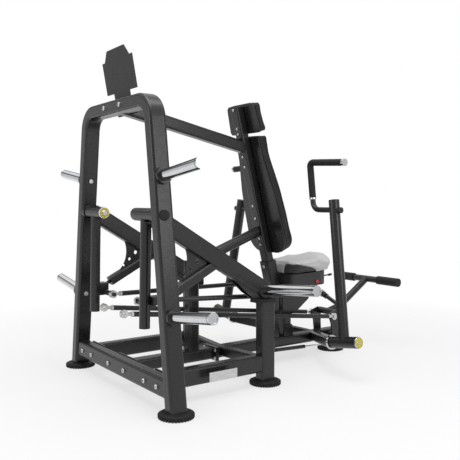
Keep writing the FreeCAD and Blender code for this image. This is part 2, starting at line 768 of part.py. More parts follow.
press_bore = press_shaft_radius + running_clearance
press_hub = round_bar(
    on_press_axis(-press_hub_inner), on_press_axis(press_hub_outer), press_hub_radius, press_bore,
)
press_hub_outer_form = round_bar(
    on_press_axis(-press_hub_inner), on_press_axis(press_hub_outer), press_hub_radius,
)
arm_top = press_centre + arm_along * press_arm_length
press_tube = round_bar(
    press_centre, arm_top, press_arm_radius, press_arm_radius - 3,
).cut(press_hub_outer_form)
press_tube = max(press_tube.Solids, key=lambda solid: solid.Volume)
arm_cap = round_bar(arm_top - arm_along * 3, arm_top, press_arm_radius - 1)
press_core = round_bar(press_centre, arm_top, press_arm_radius - 1)
crank_height = 172.0
crank_start = press_centre + arm_along * crank_height
crank_along = unit(upper_eye_front - crank_start)
rod_along = unit(upper_eye_front - upper_eye_rear)
crank_pin_along = unit(crank_along - rod_along * crank_along.dot(rod_along))
boss_back = rod_end_thickness / 2 + open_pivot_gap
boss_face = upper_eye_front - crank_pin_along * boss_back
crank_bar = round_bar(crank_start, boss_face - crank_pin_along * 10, 10).cut(press_core)
crank_bar = max(crank_bar.Solids, key=lambda solid: solid.Volume)
crank_boss = round_bar(boss_face - crank_pin_along * 14, boss_face, 14)
crank_nut = hexagon_head(boss_face - crank_along * 36, crank_along, 27, 10)
press_arm = press_tube.fuse([press_hub, arm_cap, crank_bar, crank_boss, crank_nut])

handle_y = press_centre.y + arm_along.y * (handle_height - press_centre.z) / arm_along.z
handle_x = press_centre.x + arm_along.x * (handle_height - press_centre.z) / arm_along.z
handle_points = [
    Vector(handle_x + 42, handle_y, handle_height),
    Vector(244, handle_y, handle_height),
    Vector(214, handle_y, 1076),
    Vector(456, handle_y, 1066),
]
handle = bent_bar(handle_points, [44, 20], handle_radius)
press_arm = press_arm.cut(handle)
grip_line = unit(handle_points[2] - handle_points[1])
grip_foot = handle_points[1] + grip_line * 62
bar_line = unit(handle_points[3] - handle_points[2])
grip_line_points = [grip_foot, handle_points[2], handle_points[3] - bar_line * 4]
hand_grip = bent_bar(grip_line_points, [20], grip_radius).cut(handle)
grip_ring = round_bar(grip_foot - grip_line * 8, grip_foot, grip_radius + 1, handle_radius)
bar_cap = round_bar(handle_points[3] - bar_line * 4, handle_points[3] + bar_line * 10, grip_radius + 1)
bar_cap = bar_cap.cut(handle)
stub_cap = round_bar(handle_points[0], handle_points[0] + X_AXIS * 5, handle_radius + 1)
handle = handle.fuse(stub_cap)

# front wings carry the press arms' shafts
wing_start = Vector(0, 1215, beam_middle_z)
wing_end = on_press_axis(-press_hub_inner - 12)
wing = box_bar(wing_start, wing_end, Z_AXIS, 52, 52, 10)
wing = wing.cut(brace_envelope)
wing_flange = round_bar(on_press_axis(-press_hub_inner - 14), on_press_axis(-press_hub_inner - 2), 36)
beyond_flange = round_bar(on_press_axis(-press_hub_inner - 2), on_press_axis(60), 90)
wing = max(wing.cut(beyond_flange).Solids, key=lambda solid: solid.Volume)
press_shaft = round_bar(
    on_press_axis(-press_hub_inner - 2), on_press_axis(press_hub_outer + 7), press_shaft_radius,
)
shaft_cap = round_bar(on_press_axis(press_hub_outer + 2), on_press_axis(press_hub_outer + 7), 20)
press_shaft = press_shaft.fuse(shaft_cap)
press_cap = round_bar(
    on_press_axis(press_hub_outer), on_press_axis(press_hub_outer + 1.9), press_hub_radius - 1,
    press_bore + 8,
)
wing = wing.cut(wing_flange)
wing = max(wing.Solids, key=lambda solid: solid.Volume)


# ---------------------------------------------------------------- push rods
def rod_end(eye, along, hole_axis, hole_radius):
    """A rod end: a round eye, its neck and its jam nut, on a rod that runs along from the eye.

    With a hole radius the eye is bored. Without one it holds its own bolt, headed on the
    side that hole_axis points to.
    """
    hole_axis = unit(hole_axis)
    half = hole_axis * (rod_end_thickness / 2)
    ring = round_bar(eye - half, eye + half, rod_end_radius)
    neck = round_bar(eye, eye + along * rod_end_reach, 8)
    nut = hexagon_head(eye + along * (rod_end_reach - 10), along, 22, 10)
    end = ring.fuse([neck, nut])
    if hole_radius > 0:
        return end.cut(round_bar(eye - half * 4, eye + half * 4, hole_radius))
    return end.fuse(hexagon_head(eye + half, hole_axis, 19, 7))


def push_rod(rear_eye, front_eye, front_hole_axis):
    """The black tube of a push rod and the two rod ends screwed into it."""
    along = unit(front_eye - rear_eye)
    tube = round_bar(rear_eye + along * rod_end_reach, front_eye - along * rod_end_reach, rod_radius)
    rear = rod_end(rear_eye, along, X_AXIS, rod_pin_radius + running_clearance)
    front = rod_end(front_eye, along * -1, front_hole_axis, 0.0)
    return tube, group([rear, front])


upper_rod, upper_rod_ends = push_rod(upper_eye_rear, upper_eye_front, crank_pin_along)
lower_rod, lower_rod_ends = push_rod(lower_eye_rear, lower_eye_front, X_AXIS)

# ---------------------------------------------------------------- foot bar
foot_pivot = Vector(0, foot_pivot_y, foot_pivot_z)
plate_inner = foot_plate_x
plate_outer = foot_plate_x + foot_plate_thickness
foot_plate_outline = (
    (foot_pivot_y - 22, foot_pivot_z - 16), (foot_pivot_y + 16, foot_pivot_z - 22),
    (foot_pivot_y + 28, foot_pivot_z + 10), (foot_pivot_y + 24, 180), (foot_pivot_y + 30, 232),
    (foot_pivot_y + 4, 246), (lower_eye_front.y - 14, lower_eye_front.z + 18),
    (
        lower_eye_front.y - 20, lower_eye_front.z - 6,
    ), (lower_eye_front.y - 4, 170), (foot_pivot_y - 26, 110),
)
foot_plate = side_plate(foot_plate_outline, plate_inner, plate_outer)
pivot_radius = 10.0
foot_pivot_hole = round_bar(
    foot_pivot - X_AXIS * 120, foot_pivot + X_AXIS * 120, pivot_radius + running_clearance,
)
foot_plate = foot_plate.cut(foot_pivot_hole)
foot_boss_face = lower_eye_front - X_AXIS * (rod_end_thickness / 2 + open_pivot_gap)
foot_boss = round_bar(Vector(plate_outer, lower_eye_front.y, lower_eye_front.z), foot_boss_face, 13)
foot_side = foot_plate.fuse(foot_boss)
cross_tube_y = 1332.0
cross_tube_z = 226.0
cross_tube = round_bar(
    Vector(-plate_inner, cross_tube_y, cross_tube_z),
    Vector(plate_inner, cross_tube_y, cross_tube_z), 19, 15,
)
stem_points = [
    Vector(0, cross_tube_y, cross_tube_z), Vector(0, 1430, 250), Vector(0, foot_bar_y, foot_bar_z),
]
stem = bent_bar(stem_points, [160], 20)
cross_core = round_bar(
    Vector(-plate_inner, cross_tube_y, cross_tube_z),
    Vector(plate_inner, cross_tube_y, cross_tube_z), 18,
)
bar_core = round_bar(
    Vector(-60, foot_bar_y, foot_bar_z), Vector(60, foot_bar_y, foot_bar_z), foot_bar_radius,
)
stem = stem.cut(cross_core).cut(bar_core)
stem = max(stem.Solids, key=lambda solid: solid.Volume)
foot_lever = stem.fuse([cross_tube, foot_side, mirrored(foot_side)])
foot_crossbar = round_bar(Vector(-foot_bar_half_length + 4, foot_bar_y, foot_bar_z),
                          Vector(foot_bar_half_length - 4, foot_bar_y, foot_bar_z), foot_bar_radius)
foot_grip = round_bar(Vector(foot_grip_inner_x, foot_bar_y, foot_bar_z),
                      Vector(foot_bar_half_length, foot_bar_y, foot_bar_z), foot_grip_radius)
foot_grip = foot_grip.cut(foot_crossbar)

foot_shaft = round_bar(
    foot_pivot - X_AXIS * (plate_outer + 10), foot_pivot + X_AXIS * (plate_outer + 10),
    pivot_radius,
)
shaft_sleeve = round_bar(
    foot_pivot + X_AXIS * (centre_beam_width / 2), foot_pivot + X_AXIS * (plate_inner - 1), 16,
    pivot_radius,
)
shaft_end = hexagon_head(foot_pivot + X_AXIS * (plate_outer + 2), X_AXIS, 24, 8)
foot_shaft = foot_shaft.fuse(pair(shaft_sleeve) + pair(shaft_end))
foot_shaft_hole = round_bar(foot_pivot - X_AXIS * 60, foot_pivot + X_AXIS * 60, pivot_radius)
front_beam = front_beam.cut(foot_shaft_hole).fuse(foot_shaft)

# gas strut beside the centre beam that steadies the foot bar
strut_x = 52.0
strut_rear = Vector(strut_x, 885, 66)
strut_front = Vector(strut_x, foot_pivot_y - 12, foot_pivot_z - 38)
strut_along = unit(strut_front - strut_rear)
strut_tube_length = 215.0
strut_cylinder = round_bar(
    strut_rear + strut_along * 8, strut_rear + strut_along * strut_tube_length, 10,
)
strut_bore = round_bar(
    strut_rear + strut_along * 40, strut_rear + strut_along * (strut_tube_length + 5), 4.05,
)
strut_eye = round_bar(strut_rear - X_AXIS * 5, strut_rear + X_AXIS * 5, 9)
strut_pin_hole = round_bar(strut_rear - X_AXIS * 9, strut_rear + X_AXIS * 9, 4.05)
strut_cylinder = strut_cylinder.fuse(strut_eye).cut(strut_bore).cut(strut_pin_hole)
strut_rod = round_bar(strut_rear + strut_along * 110, strut_front - strut_along * 6, 4)
front_strut_eye = round_bar(strut_front - X_AXIS * 5, strut_front + X_AXIS * 5, 9)
front_strut_bolt = hexagon_head(strut_front - X_AXIS * 5, X_AXIS * -1, 13, 4)
strut_rod = strut_rod.fuse([front_strut_eye, front_strut_bolt])
strut_lug = box(
    (centre_beam_width / 2, strut_rear.y - 12, 52),
    (centre_beam_width / 2 + 6, strut_rear.y + 12, 92),
)
strut_pin = round_bar(
    Vector(centre_beam_width / 2 + 4, strut_rear.y, strut_rear.z), strut_rear + X_AXIS * 9, 4,
)
front_beam = front_beam.fuse(strut_lug.fuse(strut_pin))
lug_outline = (
    (foot_pivot_y - 22, foot_pivot_z - 15), (foot_pivot_y + 12, foot_pivot_z - 20),
    (strut_front.y + 10, strut_front.z - 10), (strut_front.y - 12, strut_front.z - 10),
)
strut_arm = side_plate(lug_outline, plate_inner, plate_outer)
strut_arm_pin = round_bar(strut_front + X_AXIS * (5 + open_pivot_gap),
                          Vector(plate_inner + 1, strut_front.y, strut_front.z), 8)
foot_lever = foot_lever.fuse(strut_arm).fuse(strut_arm_pin)

# ---------------------------------------------------------------- seat
beam_top = centre_beam_bottom + centre_beam_height
seat_post_top = 385.0
seat_post = box_tube(Vector(0, seat_post_y, beam_top), Vector(0, seat_post_y, seat_post_top),
                     X_AXIS, seat_post_size, seat_post_size, 6)
post_foot_plate = box((-34, seat_post_y - 34, beam_top), (34, seat_post_y + 34, beam_top + 6))
post_cheek_outline = (
    (seat_post_y - 34, beam_top + 6), (seat_post_y + 34, beam_top + 6),
    (seat_post_y + 26, beam_top + 62), (seat_post_y - 26, beam_top + 62),
)
seat_post = seat_post.fuse(post_foot_plate)
for cheek_x in (-seat_post_size / 2 - 6, seat_post_size / 2):
    seat_post = seat_post.fuse(side_plate(post_cheek_outline, cheek_x, cheek_x + 6))
sleeve_bore = seat_post_size + 2 * seat_slide_clearance
sleeve_size = sleeve_bore + 2 * seat_sleeve_wall
carriage_bottom = 250.0
carriage_top = 404.0
seat_sleeve_outer = box_bar(Vector(0, seat_post_y, carriage_bottom), Vector(0, seat_post_y, carriage_top),
                            X_AXIS, sleeve_size, sleeve_size, 9)
seat_sleeve_bore = box_bar(Vector(0, seat_post_y, carriage_bottom - 1),
                           Vector(0, seat_post_y, carriage_top + 1),
                           X_AXIS, sleeve_bore, sleeve_bore, 6)
taper_outline = ((952, 404), (1187, 404), (1142, 322), (1040, carriage_bottom), (952, carriage_bottom))
carriage = seat_sleeve_outer
for plate_x in (-sleeve_size / 2 - 6, sleeve_size / 2):
    carriage = carriage.fuse(side_plate(taper_outline, plate_x, plate_x + 6))
taper_back = box((-sleeve_size / 2, 1080, carriage_bottom + 40), (sleeve_size / 2, 1086, carriage_top))
carriage = carriage.fuse(taper_back)
top_plate = box((-110, 952, carriage_top), (110, 1190, carriage_top + 5))
top_plate = top_plate.common(plan_block(110, 952, 1190, 10, 80))
carriage = carriage.fuse(top_plate).cut(seat_sleeve_bore)
post_room = box((-sleeve_bore / 2, seat_post_y - sleeve_bore / 2, carriage_top - 1),
                (sleeve_bore / 2, seat_post_y + sleeve_bore / 2, carriage_top + 6))
carriage = carriage.cut(post_room)

shell_outline = (
    (948, 412), (1190, 409.5), (1225, 420), (shell_front, 442), (shell_front, 486), (948, 478),
)
seat_shell = side_plate(shell_outline, -shell_half_width, shell_half_width)
seat_shell = seat_shell.common(plan_block(shell_half_width, 948, shell_front, 14, shell_corner))
room_half_width = shell_half_width - shell_wall
room_front = shell_front - shell_wall
room_outline = (
    (956, 409), (1186, 409), (1219, 425), (room_front, 445), (room_front, 479), (956, 471),
)
shell_room = side_plate(room_outline, -room_half_width, room_half_width)
shell_room = shell_room.common(
    plan_block(room_half_width, 956, room_front, 8, shell_corner - shell_wall)
)
seat_shell = seat_shell.cut(shell_room)
seat_pad_outline = (
    (945, 478.4), (1232, 486.3), (1256, 506), (1278, 524), (seat_pad_front, 542), (1276, 562),
    (1252, 574), (1210, 576), (1150, 562), (1090, 550), (1030, seat_top_z - 2),
    (960, seat_top_z - 6), (945, seat_top_z - 16),
)
seat_pad = side_plate(seat_pad_outline, -seat_pad_half_width, seat_pad_half_width)
seat_pad = seat_pad.common(
    plan_block(seat_pad_half_width, 945, seat_pad_front, 40, seat_pad_corner)
)

button_face_low = (button_y - button_length / 2, button_z - button_length / 2 + 2)
button_face_high = (button_y + button_length / 2, button_z + button_length / 2 - 2)
button_seat_x = shell_half_width - button_travel - button_floor_gap
release_button = box((shell_half_width - button_floor_gap, *button_face_low),
                     (shell_half_width + button_proud, *button_face_high))
button_stem = round_bar(Vector(shell_half_width - 14, button_y, button_z),
                        Vector(shell_half_width, button_y, button_z), 4)
release_button = release_button.fuse(button_stem)
button_pocket = box(
    (button_seat_x, button_face_low[0] - pad_clearance, button_face_low[1] - pad_clearance),
    (shell_half_width + 1, button_face_high[0] + pad_clearance, button_face_high[1] + pad_clearance),
)
pocket_block = box(
    (button_seat_x - 4, button_face_low[0] - 4, button_face_low[1] - 4),
    (shell_half_width - 5, button_face_high[0] + 4, button_face_high[1] + 4),
)
button_hole = round_bar(Vector(button_seat_x - 6, button_y, button_z),
                        Vector(shell_half_width, button_y, button_z), 4 + running_clearance)
seat_shell = seat_shell.fuse(pocket_block).cut(button_pocket).cut(button_hole)


def from_release_pivot(x, ahead, rise):
    """A point placed from the seat lever's pivot."""
    return Vector(x, release_pivot_y + ahead, release_pivot_z + rise)


release_lever = round_bar(from_release_pivot(60, 0, 0), from_release_pivot(60, 112, 6), 4)
lever_knob = round_bar(from_release_pivot(60, 100, 5), from_release_pivot(60, 120, 7), 7)
lever_slot = box(from_release_pivot(51, 26, -14), from_release_pivot(69, 88, 24))
lever_barrel = round_bar(from_release_pivot(50, 0, 0), from_release_pivot(70, 0, 0), 7, 3.05)
release_lever = release_lever.fuse([lever_knob, lever_barrel])
release_lever = release_lever.cut(
    round_bar(from_release_pivot(40, 0, 0), from_release_pivot(80, 0, 0), 3.05)
)
seat_shell = seat_shell.cut(lever_slot)
lever_pin = round_bar(from_release_pivot(42, 0, 0), from_release_pivot(78, 0, 0), 3)
pin_ears = []
for ear_x in (42, 72):
    pin_ears.append(box((ear_x, release_pivot_y - 10, carriage_top + 5),
                        from_release_pivot(ear_x + 6, 10, 10)))
ears = pin_ears[0].fuse([pin_ears[1], lever_pin])
carriage = carriage.fuse(ears)

# ---------------------------------------------------------------- bolts
crossbeam_bolts = []
bolt_holes = []
for bolt_x in (centre_bolt_offset, side_rail_x - side_bolt_offset, side_rail_x + side_bolt_offset):
    for side in (-1, 1):
        at = Vector(side * bolt_x, -30, rail_middle_z)
        crossbeam_bolts.append(bolt(at, Y_AXIS * -1, 60 + flange_thickness + 2))
        bolt_holes.append(bolt_hole(at, Y_AXIS * -1, 60 + flange_thickness + 2))
crossbeam = crossbeam.cut(bolt_holes)
side_rail = side_rail.cut(bolt_holes)
rear_beam = rear_beam.cut(bolt_holes)

column_bolts = []
column_bolt_holes = []
column_bolt_heights = (1344, 1250, 1222, 1106, 1054, 848, 781, 673, 640)
for bolt_z in column_bolt_heights:
    at = on_column(0, 0, on_column_rear(bolt_z))
    reach = column_depth + pad_plate_thickness - 1
    column_bolts.append(bolt(at, off_column * -1, reach, 4.0, 7.0, 5.0))
    column_bolt_holes.append(bolt_hole(at, off_column * -1, reach, 4.0))
column = column.cut(column_bolt_holes)
headrest_plate = headrest_plate.cut(column_bolt_holes)
back_plate = back_plate.cut(column_bolt_holes)
sleeve_bolt_at = on_column(0, -8, on_column_rear(520))
column_bolts.append(bolt(sleeve_bolt_at, off_column * -1, 24, 5.0, 9.0, 6.0))
sleeve_hole = bolt_hole(sleeve_bolt_at, off_column * -1, 26, 5.0)
sleeve = sleeve.cut(sleeve_hole)
column = column.cut(sleeve_hole)

peg_bolts = []
peg_bolt_holes = []
for height in storage_peg_heights:
    inner_face = peg_axis_start(height) - outward_of_upright * tube_width
    reach = tube_width + peg_collar_length
    peg_bolts += pair(bolt(inner_face, outward_of_upright * -1, reach))
    peg_bolt_holes += pair(bolt_hole(inner_face, outward_of_upright * -1, tube_width - 1))
    peg_threads = pair(Part.makeCylinder(6.0, reach, inner_face, outward_of_upright))
    storage_pegs = [peg.cut(peg_threads) for peg in storage_pegs]

top_bolts = []
top_bolt_holes = []
for side in (-1, 1):
    at = Vector(side * top_bolt_x, -tube_depth / 2, arch_height - tube_width / 2)
    reach = tube_depth + flange_thickness + 2
    top_bolts.append(bolt(at, Y_AXIS * -1, reach))
    top_bolt_holes.append(bolt_hole(at, Y_AXIS * -1, reach))
top_beam = top_beam.cut(top_bolt_holes)

joint_bolts = []
joint_holes = []
for bolt_x in (-47, 47):
    for bolt_z in (-20, 20):
        at = Vector(bolt_x, beam_joint_y - flange_thickness, beam_middle_z + bolt_z)
        joint_bolts.append(bolt(at, Y_AXIS * -1, 2 * flange_thickness + 2, 5.0, 9.0, 6.0))
        joint_holes.append(bolt_hole(at, Y_AXIS * -1, 2 * flange_thickness + 4, 5.0))
rear_beam = rear_beam.cut(joint_holes)
front_beam = front_beam.cut(joint_holes)

arch = arch_outer.cut(arch_bore).cut(pair(arch_shaft_hole))
arch = arch.fuse(peg_collars + pair(pivot_boss)).cut(peg_bolt_holes + top_bolt_holes)

# ---------------------------------------------------------------- nodes
keep("rear_arch", arch)
keep("storage_pegs", group(storage_pegs))
keep("rear_crossbeam", crossbeam)
both_sides("side_rail", side_rail.fuse(mid_post))
keep("lever_rest_pads", group(pair(rest_pad)))
keep("floor_braces", group(pair(floor_brace)))
keep("centre_beam_rear", rear_beam)
keep("centre_beam_front", front_beam)
keep("rubber_feet", group(feet))
keep("top_beam", top_beam)
keep("back_column", column)
keep("centre_post", centre_post)
keep("column_leg", sleeve.fuse(column_leg))
keep("pad_plates", group([headrest_plate, back_plate]))
keep("headrest_pad", headrest)
keep("back_pad", back_pad)
keep("placard", placard)
keep("pivot_shafts", group(pair(pivot_shaft) + pair(press_shaft.fuse(wing_flange))))
both_sides("front_wing", wing)
keep("seat_post", seat_post)
keep("frame_bolts", group(crossbeam_bolts + column_bolts + joint_bolts + peg_bolts + top_bolts))
both_sides("weight_lever", lever)
both_sides("lever_gusset", lever_gusset.fuse(lever_brace))
both_sides("swing_arm", swing_arm)
both_sides("weight_peg", weight_peg)
both_sides("lever_hub_cap", hub_cap)
both_sides("press_arm", press_arm)
both_sides("press_hub_cap", press_cap)
both_sides("press_handle", handle)
both_sides("hand_grips", hand_grip)
both_sides("handle_trim", group([grip_ring.cut(handle), bar_cap]))
both_sides("upper_push_rod", upper_rod)
both_sides("upper_rod_ends", upper_rod_ends)
both_sides("lower_push_rod", lower_rod)
both_sides("lower_rod_ends", lower_rod_ends)
keep("foot_lever", foot_lever.fuse(foot_crossbar))
keep("foot_grips", group(pair(foot_grip)))
keep("strut_cylinder", strut_cylinder)
keep("strut_rod", strut_rod)
keep("seat_carriage", carriage)
keep("seat_shell", seat_shell)
keep("seat_pad", seat_pad)
keep("seat_release_button", release_button)
keep("seat_release_lever", release_lever)

os.makedirs("parts", exist_ok=True)
to_middle = Vector(0, -middle_y, 0)
for name, shape in nodes.items():
    shape.translated(to_middle).exportStep("parts/" + name + ".step")
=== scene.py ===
# %% [markdown]
# # A plate-loaded chest press machine
# The steel frame, levers, press arms and push rods are already modelled as fixed CAD parts. This
# lesson gives each of them its finish, and makes what CAD leaves plain: the stuffed pads, the ribbed
# rubber feet, the ringed pivot caps, the weld beads, and the studio around the machine.
# The first cell loads the parts.

# %% Load the machine
import json
import math

import bpy
from mathutils import Matrix, Vector
from mathutils.bvhtree import BVHTree


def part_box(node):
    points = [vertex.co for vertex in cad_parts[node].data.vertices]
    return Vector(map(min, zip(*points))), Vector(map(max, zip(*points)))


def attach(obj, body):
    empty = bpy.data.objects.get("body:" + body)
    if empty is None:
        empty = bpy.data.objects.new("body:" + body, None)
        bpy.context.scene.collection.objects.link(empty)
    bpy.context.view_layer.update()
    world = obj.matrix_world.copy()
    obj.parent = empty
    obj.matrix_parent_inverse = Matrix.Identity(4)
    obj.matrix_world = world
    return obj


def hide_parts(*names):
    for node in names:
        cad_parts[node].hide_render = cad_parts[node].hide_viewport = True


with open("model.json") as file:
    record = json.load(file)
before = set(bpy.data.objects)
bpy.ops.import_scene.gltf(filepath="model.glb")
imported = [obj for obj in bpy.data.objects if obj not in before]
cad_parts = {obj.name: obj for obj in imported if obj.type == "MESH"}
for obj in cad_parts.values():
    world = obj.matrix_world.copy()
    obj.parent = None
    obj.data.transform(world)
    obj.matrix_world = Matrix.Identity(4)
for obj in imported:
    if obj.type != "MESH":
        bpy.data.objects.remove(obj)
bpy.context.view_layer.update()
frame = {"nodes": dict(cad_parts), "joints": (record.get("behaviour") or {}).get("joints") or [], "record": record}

# %% [markdown]
# ## The camera
# The machine is seen from its rear right corner, almost level, with a 50 mm lens on a 36 mm frame.
# A level view keeps the uprights straight, and the distance of more than three metres keeps the
# nearest pegs from looking too big. The camera needs nothing from the other pieces, so it comes first.

# %% Place the camera
CAMERA_PLACE = Vector((2.7044, -2.1096, 0.8846))
LOOKING_DOWN = 2.76
CAMERA_PITCH = math.radians(90 - LOOKING_DOWN)
CAMERA_TURN = math.radians(54.47)

camera_data = bpy.data.cameras.new("camera")
camera_data.lens = 50
camera_data.sensor_width = 36
camera = bpy.data.objects.new("camera", camera_data)
camera.location = CAMERA_PLACE
camera.rotation_euler = (CAMERA_PITCH, 0, CAMERA_TURN)
bpy.context.scene.collection.objects.link(camera)
bpy.context.scene.camera = camera

# %% [markdown]
# ## The studio
# Black powder coat only shows its shape through reflections, so the room is a white tent: one big
# soft lamp above, one low fill at each side, and a white world. The world is pure white to the
# camera, and a quieter grey where it lights the machine, so that a colour renders about as it is
# written. Chrome needs something dark to mirror, or it melts into the white, so reflections see the
# tent in soft bands of grey instead, with one dark band a little above the horizon.

# %% Light the studio
WORLD_LIGHT = 0.55
# (height, grey) of the tent as a mirror sees it, from 0 straight down to 1 straight up
MIRROR_BANDS = (
    (0.0, 0.60), (0.44, 0.66), (0.54, 0.76), (0.61, 0.74), (0.645, 0.14),
    (0.69, 0.14), (0.73, 1.0), (0.86, 1.0), (0.93, 0.55), (1.0, 0.9),
)
bpy.context.scene.view_settings.view_transform = "Standard"


def add_node(tree, kind, **settings):
    """One shader node, with its properties and input values set by name."""
    made = tree.nodes.new(kind)
    for key, value in settings.items():
        if hasattr(made, key) and key not in made.inputs:
            setattr(made, key, value)
        else:
            made.inputs[key.replace("_", " ")].default_value = value
    return made


def colour_sockets(sockets):
    """The colour sockets of a Mix node, which also has sockets of other kinds."""
    return [socket for socket in sockets if socket.type == "RGBA"]


def seen_directly(tree):
    """1 for rays from the camera, a mirror or glass, and 0 for rays that carry light."""
    path = add_node(tree, "ShaderNodeLightPath")
    first = add_node(tree, "ShaderNodeMath", operation="MAXIMUM")
    both = add_node(tree, "ShaderNodeMath", operation="MAXIMUM")
    tree.links.new(path.outputs["Is Camera Ray"], first.inputs[0])
    tree.links.new(path.outputs["Is Glossy Ray"], first.inputs[1])
    tree.links.new(first.outputs[0], both.inputs[0])
    tree.links.new(path.outputs["Is Transmission Ray"], both.inputs[1])
    return both.outputs[0]


world = bpy.data.worlds.new("white_tent")
world.use_nodes = True
bpy.context.scene.world = world
world_tree = world.node_tree
background = world_tree.nodes["Background"]
background.inputs["Color"].default_value = (1, 1, 1, 1)
strength = add_node(world_tree, "ShaderNodeMapRange", To_Min=WORLD_LIGHT, To_Max=1.0)
world_tree.links.new(seen_directly(world_tree), strength.inputs["Value"])
direction = add_node(world_tree, "ShaderNodeTexCoord").outputs["Generated"]
height = add_node(world_tree, "ShaderNodeSeparateXYZ")
world_tree.links.new(direction, height.inputs[0])
lift = add_node(world_tree, "ShaderNodeMapRange", From_Min=-1.0, From_Max=1.0)
world_tree.links.new(height.outputs["Z"], lift.inputs["Value"])
bands = add_node(world_tree, "ShaderNodeValToRGB")
bands.color_ramp.elements.remove(bands.color_ramp.elements[1])
for place, grey in MIRROR_BANDS:
    stop = bands.color_ramp.elements.new(place)
    stop.color = (grey, grey, grey, 1)
bands.color_ramp.elements.remove(bands.color_ramp.elements[0])
world_tree.links.new(lift.outputs[0], bands.inputs["Fac"])
glossy = add_node(world_tree, "ShaderNodeLightPath").outputs["Is Glossy Ray"]
tent = add_node(world_tree, "ShaderNodeMix", data_type="RGBA")
tent_colours = colour_sockets(tent.inputs)
tent_colours[0].default_value = (1, 1, 1, 1)
world_tree.links.new(glossy, tent.inputs[0])
world_tree.links.new(bands.outputs["Color"], tent_colours[1])
world_tree.links.new(colour_sockets(tent.outputs)[0], background.inputs["Color"])
world_tree.links.new(strength.outputs[0], background.inputs["Strength"])


def soft_lamp(name, place, aim, width, watts):
    """A square area lamp that points at aim."""
    data = bpy.data.lights.new(name, "AREA")
    data.shape = "SQUARE"
    data.size = width
    data.energy = watts
    lamp = bpy.data.objects.new(name, data)
    lamp.location = place
    lamp.rotation_euler = (Vector(aim) - Vector(place)).to_track_quat("-Z", "Y").to_euler()
    bpy.context.scene.collection.objects.link(lamp)


soft_lamp("lamp_above", (0.6, -0.6, 3.6), (0, 0, 0.4), 2.4, 62)
soft_lamp("lamp_right", (3.4, 0.4, 1.8), (0, 0, 0.7), 1.6, 26)
soft_lamp("lamp_behind", (-0.8, -3.8, 1.9), (0, 0, 0.7), 1.6, 24)

# %% [markdown]
# The floor is a wide pale disc. It is mostly white by itself to the camera, with a share of real
# matte shading left in, so the machine still stands on a soft shadow. The share fades out with
# distance, so the disc has no visible rim.

# %% Lay the floor
FLOOR_RADIUS = 9.0
FLOOR_SHADOW = 0.38
FLOOR_DROP = 0.0005
FADE_START = 1.2
FADE_END = 2.6
bpy.ops.mesh.primitive_circle_add(
    vertices=96, radius=FLOOR_RADIUS, fill_type="NGON", location=(0, 0, -FLOOR_DROP))
floor = bpy.context.object
floor.name = "floor"
floor_material = bpy.data.materials.new("pale_floor")
floor_material.use_nodes = True
floor_tree = floor_material.node_tree
floor_tree.nodes.clear()
floor_out = add_node(floor_tree, "ShaderNodeOutputMaterial")
floor_mix = add_node(floor_tree, "ShaderNodeMixShader")
matte = add_node(floor_tree, "ShaderNodeBsdfDiffuse", Color=(0.86, 0.86, 0.86, 1))
white = add_node(floor_tree, "ShaderNodeEmission", Color=(1, 1, 1, 1), Strength=1.0)
where = add_node(floor_tree, "ShaderNodeTexCoord")
reach = add_node(floor_tree, "ShaderNodeVectorMath", operation="LENGTH")
fade = add_node(
    floor_tree, "ShaderNodeMapRange",
    From_Min=FADE_START, From_Max=FADE_END, To_Min=1 - FLOOR_SHADOW, To_Max=1.0)
share = add_node(floor_tree, "ShaderNodeMath", operation="MULTIPLY")
floor_tree.links.new(where.outputs["Object"], reach.inputs[0])
floor_tree.links.new(reach.outputs["Value"], fade.inputs["Value"])
floor_tree.links.new(fade.outputs[0], share.inputs[0])
floor_tree.links.new(seen_directly(floor_tree), share.inputs[1])
floor_tree.links.new(share.outputs[0], floor_mix.inputs["Fac"])
floor_tree.links.new(matte.outputs[0], floor_mix.inputs[1])
floor_tree.links.new(white.outputs[0], floor_mix.inputs[2])
floor_tree.links.new(floor_mix.outputs[0], floor_out.inputs["Surface"])
floor.data.materials.append(floor_material)

# %% [markdown]
# ## Finishes
# Every finish is built the same way: a colour that varies a little from place to place, a roughness
# that varies a little too, and one or two layers of bump at the size of the real grain. The pattern
# is read from Object coordinates, in metres, so a scale of 900 makes a grain of about one millimetre.

# %% A helper for all finishes
COAT_ROUGHNESS = 0.25
BUMP_STRENGTH = 0.6


